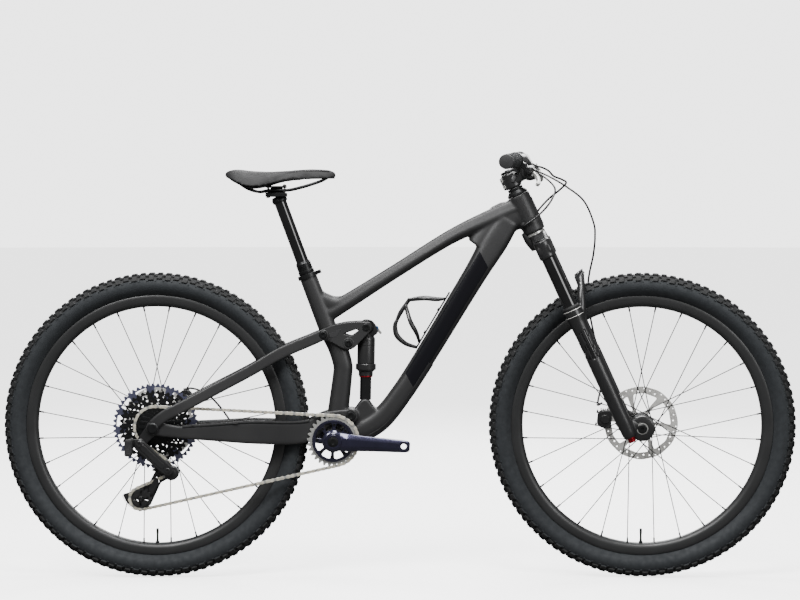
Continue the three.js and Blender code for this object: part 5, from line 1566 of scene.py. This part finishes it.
def build_lowers():
    """The sliding legs with their arch, seals, mudguard, axle, knob and caliper."""
    shapes = []
    for side, leg in zip((-1, 1), on_legs(standing(LEG_PROFILE, 48))):
        shapes.append(leg)
        foot = sweep([(-6, 44, 22, 14, side * 61.6), (10, 22, 38, 14, side * 61.6),
                      (38, 1, 36, 13, side * 61.6), (55, -9, 14, 13, side * 61.6)], ROUND_BOX, 6)
        shapes.append(foot)
        web = sweep([(4, 60, 24, 12, side * 66), (10, 30, 36, 14, side * 65), (30, 6, 30, 13, side * 63)],
                    ROUND, 5)
        shapes.append(web)
    arch = [(18, -66, 296), (34, -62, 338), (49, -46, 372), (55, -22, 390), (57, 0, 393), (55, 22, 390),
            (49, 46, 372), (34, 62, 338), (18, 66, 296)]
    shapes.append(tube(arch, 9.3, 20, 7))
    brace = [(30, -60, 322), (41, -46, 352), (47, -22, 371), (49, 0, 374), (47, 22, 371), (41, 46, 352),
             (30, 60, 322)]
    shapes.append(tube(brace, 6.2, 16, 6))
    shell = fused(new_object("fork_lower_legs", shapes, STEER), 2.2, 3)
    dress(shell, CAST, "fork_lowers", ["fork_lowers"])
    seals = on_legs(standing([(17.7, 331), (21.9, 331), (22.3, 332), (22.3, 336), (21, 338), (18.4, 340),
                              (17.7, 340)], 48))
    piece("fork_seals", seals, SEAL, "fork_lowers", place=STEER)
    rims = []
    for z in (313, 328):
        rims += on_legs(standing([(22.2, z), (22.9, z + 0.5), (22.9, z + 1.4), (22.2, z + 1.9)]))
    piece("fork_seal_rims", rims, ROTOR, "fork_lowers", place=STEER)
    bolts = [screw((x, y, z), (1, 0, 0.4), 4.6, 2.6, 2.2)
             for x, y, z in ((50, -50, 376), (50, 50, 376), (65, 0, 398))]
    piece("fork_arch_bolts", bolts, BRIGHT, "fork_lowers", place=STEER)
    sheet = []
    for i in range(13):
        share = -1 + 2 * i / 12
        y = 44 * share
        low, high = 362 - 26 * abs(share) ** 3, 406 - 8 * share ** 2
        x_low, x_high = 52 - 14 * share ** 2, 66 - 24 * share ** 2
        sheet.append([Vector((x_low, y, low)), Vector((x_high, y, high)), Vector((x_high + 1.8, y, high)),
                      Vector((x_low + 1.8, y, low))])
    piece("fork_mudguard", [skin(sheet)], PLASTIC, "fork_lowers", place=STEER, sharp=40)
    axle = [across((FORK_OFFSET, 0, 0), -69, 70, 7.4, 36)]
    axle.append(screw((FORK_OFFSET, -68.4, 0), (0, -1, 0), 11, 3.2, 3.2))
    axle.append(screw((FORK_OFFSET, 68.4, 0), (0, 1, 0), 11, 2.6, 3.2))
    piece("front_through_axle", axle, ALLOY, "fork_lowers", ["front_axle"], place=STEER)
    disc = turned([(9, -68.2), (26, -68.2), (29.4, -66.6), (30.6, -63), (30.6, -56), (29, -55), (9, -55)], 72)
    inset = turned([(11.4, -68.9), (13.6, -68.9), (14, -68.2), (11.4, -68.2)], 56)
    shift = at(FORK_OFFSET, 0, 0)
    piece("fork_dropout_disc", [moved(disc, shift)], CAST, "fork_lowers", place=STEER)
    piece("fork_axle_ring", [moved(inset, shift)], BRIGHT, "fork_lowers", place=STEER)
    knob = standing([(0, -20), (7, -20), (8.4, -18.6), (8.4, -12), (9.6, -10.6), (9.6, -8.2), (0, -8.2)], 36)
    grips = [moved(block(7.8, 9.2, -0.8, 0.8, -18.6, -12.4, 0.3), Matrix.Rotation(TAU * i / 12, 4, "Z"))
             for i in range(12)]
    parts = [moved(shape, at(LEG_AHEAD, -LEG_SIDE, 0)) for shape in (knob, *grips)]
    piece("fork_rebound_knob", parts, RED, "fork_lowers", place=STEER)
    place = STEER @ at(FORK_OFFSET, FRONT_ROTOR_Y, 0) @ turned_by(FRONT_CALIPER_TURN)
    piece("front_brake_caliper", caliper(11, place), CAST, "fork_lowers", ["front_caliper"])


# ------------------------------------------------------------------ cockpit
BAR_PATH = [(STEM_REACH, 0, STEM_HEIGHT, 15.9), (STEM_REACH, 30, STEM_HEIGHT, 15.9),
            (STEM_REACH + 1, 52, STEM_HEIGHT + 4, 13.5), (STEM_REACH + 1, 84, STEM_HEIGHT + 22, 11.5),
            (STEM_REACH, 112, STEM_HEIGHT + 33, 11.1), (STEM_REACH - 3, 150, STEM_HEIGHT + 36, 11.1),
            (STEM_REACH - 32, BAR_HALF - 1, STEM_HEIGHT + 44, 11.1)]
BAR_BEND = Vector(BAR_PATH[5][:3])
BAR_END = Vector(BAR_PATH[6][:3])
BAR_WAY = (BAR_END - BAR_BEND).normalized()


# The brakes and the thumb levers: degrees below level, and distance from the middle.
BRAKE_TURN, BRAKE_Y = 65.7, 225
POD_TURN, POD_Y = 127, 180


def on_bar(y):
    """A point on the handlebar's outer half, y from its middle."""
    return BAR_BEND + BAR_WAY * ((y - BAR_BEND.y) / BAR_WAY.y)


def bar_frame(angle, y):
    """Axes on the handlebar: x reaches away from it, y runs along it outwards and z is square to both."""
    turn = math.radians(angle)
    reach = Vector((math.cos(turn), 0, -math.sin(turn)))
    square = reach.cross(BAR_WAY).normalized()
    reach = BAR_WAY.cross(square)
    place = Matrix((reach, BAR_WAY, square)).transposed().to_4x4()
    place.translation = on_bar(y)
    return place


def build_stem():
    column = rod(19.6, (0, 0, 652.4), (0, 0, 690), 48, 2)
    arm = slab([(0, 656), (30, 659), (48, 661), (48, 684), (28, 688), (0, 689)], 5, -17, 17, chamfer=4)
    clamp = across((STEM_REACH, 0, STEM_HEIGHT), -26, 26, 21.6, 56, 2)
    shell = fused(new_object("stem_body", [column, arm, clamp, block(-25, -12, -13, 13, 655, 686, 3)],
                             STEER), 1.8, 4, [across((STEM_REACH, 0, STEM_HEIGHT), -40, 40, 16, 48, 0)])
    dress(shell, CAST, "steerer", ["stem"])
    bolts = [screw((-21.5, -12.4, z), (0, -1, 0), 4, 2.4, 2) for z in (663, 679)]
    bolts += [screw((STEM_REACH + 20.5, y, STEM_HEIGHT + z), (1, 0, 0), 3.8, 2.4, 2) for y in (-19, 19)
              for z in (-9, 9)]
    gap = [block(STEM_REACH + 1, STEM_REACH + 2.2, -26.2, 26.2, STEM_HEIGHT + s * 15.6 - 7,
                 STEM_HEIGHT + s * 15.6 + 7, 0.2) for s in (-1, 1)]
    piece("stem_bolts", bolts, RING, "steerer", place=STEER)
    piece("stem_faceplate_joint", gap, SEAL, "steerer", place=STEER)


def build_bar():
    half = [Vector((x, y, z)) for x, y, z, r in BAR_PATH]
    radii = [r for *_, r in BAR_PATH]
    path = [Vector((p.x, -p.y, p.z)) for p in reversed(half[1:])] + half
    bar = tube(path, [*reversed(radii[1:]), *radii], 36, 7)
    piece("handlebar_tube", [bar], CARBON, "steerer", ["handlebar"], place=STEER, sharp=40)
    for side, name in ((1, "left"), (-1, "right")):
        profile = [(11.6, 248), (16.6, 248), (17.5, 249), (17.5, 255), (16.6, 256.5)]
        y = 258.0
        while y < 372:
            profile += [(15.1, y), (16.5, y + 0.8), (16.5, y + 2.2), (15.1, y + 3)]
            y += 3.9
        profile += [(15.8, 374), (17, 376), (17, 383), (16, 385), (11.6, 385)]
        place = STEER @ (Matrix.Scale(-1, 4, (0, 1, 0)) if side < 0 else Matrix.Identity(4))
        turn = facing(on_bar(0), BAR_WAY)
        grip = moved(turned(profile), turn)
        pads = []
        for i in range(6):
            for k in range(9):
                a = TAU * (i + 0.5 * (k % 2)) / 6
                pad = moved(block(15.4, 17.3, 262 + k * 12, 268 + k * 12, -3, 3, 0.8),
                            Matrix.Rotation(a, 4, "Y"))
                pads.append(moved(pad, turn))
        cap = moved(turned([(0, 384), (16.5, 384), (16.8, 385), (16.5, 387.4), (14, 388.2), (0, 388.2)],
                           48), turn)
        collar = moved(turned([(11.4, 249), (18, 249), (18.4, 249.6), (18.4, 254.4), (18, 255),
                               (11.4, 255)], 48), turn)
        piece("grip_sleeve_" + name, [grip, *pads], GRIP, "steerer", ["grip_" + name], place=place,
              sharp=34)
        piece("grip_cap_" + name, [cap], SOFT_PLASTIC, "steerer", place=place)
        piece("grip_collar_" + name, [collar], ALLOY, "steerer", place=place)


LEVER = [(44, -36), (56, -36), (64, -18), (74, 12), (82, 52), (86, 84), (82, 92), (77, 88), (74, 54),
         (66, 16), (56, -12), (44, -22)]
PADDLE = [(31.5, -12), (38, -12), (44, 6), (56, 26), (54, 34), (46, 32), (36, 12), (33.5, 3)]


def drawn_flat(outline, low, high, chamfer):
    """A plate drawn in reach and along the bar, and thick the third way."""
    swapped = plate([(x, y) for x, y in outline], low, high, chamfer=chamfer)
    return moved(swapped, Matrix(((1, 0, 0, 0), (0, 0, 1, 0), (0, -1, 0, 0), (0, 0, 0, 1))))


def build_controls():
    """The brakes and thumb levers, the right side a mirror image of the left."""
    flip = Matrix.Scale(-1, 4, (0, 1, 0))
    brake, pod = bar_frame(BRAKE_TURN, BRAKE_Y), bar_frame(POD_TURN, POD_Y)
    for side, name in ((1, "left"), (-1, "right")):
        place = STEER @ brake if side > 0 else STEER @ flip @ brake
        clamp = turned([(11.3, -8), (15.2, -8), (16, -7.2), (16, 7.2), (15.2, 8), (11.3, 8)], 48)
        neck = slab([(10, -6.6), (34, -6.6), (34, 6.6), (10, 6.6)], 3, -7.6, 6.6, chamfer=1.6)
        barrel = moved(turned([(0, -72), (7, -72), (8.2, -70), (8.6, -60), (8.6, 2), (8, 6.4), (6, 8),
                               (0, 8)], 40), at(35, 0, 0))
        bands = [moved(turned([(8.4, y), (8.9, y + 0.5), (8.9, y + 2), (8.4, y + 2.5)], 40), at(35, 0, 0))
                 for y in (-66, -56, -4)]
        lug = [slab([(32, z), (52, z), (56, z + 1.4), (52, z + 2.8), (32, z + 2.8)], 1, -37, -23,
                     chamfer=0.8) for z in (-8.6, 5.8)]
        bolt = [screw((24, 0, 6.4), (0, 0, 1), 3.6, 2.4, 1.9), screw((50, -30, 8.4), (0, 0, 1), 4, 1.6, 1.9)]
        piece("brake_master_" + name, [clamp, neck, barrel, *bands, *lug, *bolt], CAST, "steerer",
              ["brake_body_" + name], place=place)
        blade = drawn_flat(rounded(LEVER, 4, 4), -4.4, 4.4, 1.8)
        piece("brake_blade_" + name, [blade], RING, "brake_lever_" + name, ["brake_lever_" + name],
              place=place)
        place = STEER @ pod if side > 0 else STEER @ flip @ pod
        body = slab([(13, -9), (30, -9), (30, 9), (13, 9)], 3, -20, 14, chamfer=2.4)
        arm = slab([(12, -6), (18, -6), (18, 6), (12, 6)], 2, 0, 44, chamfer=1.2)
        node = "dropper_remote_lever" if side > 0 else "shift_paddle"
        paddle_body = "dropper_remote_lever" if side > 0 else "shift_paddle_lever"
        face = drawn_flat(rounded(PADDLE, 2.4, 4), -5, 5, 1.6)
        ribs = [drawn_flat([(43 + k * 3, 12 + k * 5), (45.6 + k * 3, 12 + k * 5), (47 + k * 3, 14 + k * 5),
                            (44 + k * 3, 14 + k * 5)], -4.4, 5.4, 0.3) for k in range(3)]
        piece("thumb_pod_" + name, [body, arm], PLASTIC, "steerer", place=place)
        piece("thumb_paddle_" + name, [face, *ribs], PLASTIC, paddle_body, [node], place=place)


def build_hoses():
    """The hoses, each running between the two bodies it joins, with its place baked into its mesh."""
    rear = [(324, -152, 995), (338, -126, 993), (356, -84, 986), (371, -46, 974), (392, -30, 966),
            (404, 0, 958), (388, 22, 940), (366, 30, 922), (345, 28, 900), (333, 26, 884)]
    cable = [(294, 160, 997), (311, 128, 997), (330, 96, 990), (362, 60, 968), (378, 10, 944),
             (368, -24, 918), (350, -33, 894), (326, -33, 872), (306, -30, 858)]
    front = [(324, 152, 995), (345, 138, 988), (372, 120, 975), (410, 108, 952), (454, 96, 916),
             (478, 92, 863), (482, 92, 828), (478, 92, 783), (466, 95, 716), (470, 96, 640), (486, 95, 560),
             (500, 92, 480), (490, 78, 425), (488, 66, 414), (497, 54, 420)]
    for name, path, node, bend, bodies in (("rear_brake_line", rear, "rear_brake_hose",
                                            ((350, 28, 905), (388, -30, 968)), ("frame", "steerer")),
                                           ("dropper_line", cable, "dropper_cable",
                                            ((320, -33, 868), (350, 80, 976)), ("frame", "steerer"))):
        piece(name, [tube(path, HOSE_RADIUS, 14, 8)], HOSE, bodies, [node], bend=bend, sharp=60)
    piece("front_brake_line", [tube(front, HOSE_RADIUS, 14, 8)], HOSE, ("steerer", "fork_lowers"),
          ["front_brake_hose"], bend=((466, 95, 720), (497, 90, 470)), sharp=60)


for build in (build_cranks, build_cassette, build_chain, build_derailleur, build_fork, build_lowers,
              build_stem, build_bar, build_controls, build_hoses):
    build()


# ------------------------------------------------------------------ studio, in metres and watts
FLOOR_RADIUS = 60
DOME_RADIUS = 55
FLOOR_GLOW = 2.9
DOME_GLOW = 3.2
WORLD_GLOW = 0.2
# [name, place, size, power]
LIGHTS = (("key", (-1.6, -2.6, 3.4), 1.6, 170), ("fill", (2.6, -2.8, 1.8), 1.6, 60),
          ("strip", (0.3, -1.6, 3.2), 1.0, 90), ("back", (0.4, 3.0, 2.6), 2.2, 120),
          ("top", (0.0, 0.3, 3.6), 1.6, 120),)
LAMP_AIM = (0, 0, 0.5)
CAMERA_PLACE = (0.039, -5.25, 0.88)
CAMERA_AIM = (0.0023, 0, 0.6747)
LENS = 97.5
SENSOR = 36


def glowing(name, colour, strength):
    """A plain stage finish that looks pale without lighting the bicycle."""
    made = Nodes(name, colour, 0.8, specular=0.1)
    made.set("Emission Color", (*colour, 1))
    made.set("Emission Strength", strength)
    return made.vary(900, 0.01).material


def build_studio():
    bpy.ops.mesh.primitive_circle_add(vertices=96, radius=FLOOR_RADIUS, fill_type="NGON")
    floor = bpy.context.object
    floor.name = "studio_floor"
    floor.data.materials.append(glowing("studio_floor", (0.9, 0.9, 0.9), FLOOR_GLOW))
    bpy.ops.mesh.primitive_uv_sphere_add(segments=48, ring_count=24, radius=DOME_RADIUS)
    dome = bpy.context.object
    dome.name = "studio_dome"
    dome.data.materials.append(glowing("studio_dome", (1, 1, 1), DOME_GLOW))
    for stage in (floor, dome):
        stage.visible_diffuse = False
        stage.visible_glossy = False
        stage.visible_transmission = False
    dome.visible_shadow = False
    world = bpy.data.worlds.new("studio")
    bpy.context.scene.world = world
    world.use_nodes = True
    world.node_tree.nodes["Background"].inputs["Color"].default_value = (1, 1, 1, 1)
    world.node_tree.nodes["Background"].inputs["Strength"].default_value = WORLD_GLOW
    for name, place, size, power in LIGHTS:
        data = bpy.data.lights.new(name, "AREA")
        data.size = size
        data.energy = power
        aimed(name, data, place, LAMP_AIM)


def aimed(name, data, place, target):
    """Puts a lamp or a camera at place, looking at target."""
    made = bpy.data.objects.new(name, data)
    made.location = place
    made.rotation_euler = (Vector(target) - made.location).to_track_quat("-Z", "Y").to_euler()
    bpy.context.scene.collection.objects.link(made)
    return made


def build_camera():
    data = bpy.data.cameras.new("camera")
    data.lens = LENS
    data.sensor_width = SENSOR
    data.clip_end = 200
    bpy.context.scene.camera = aimed("camera", data, CAMERA_PLACE, CAMERA_AIM)


build_studio()
build_camera()
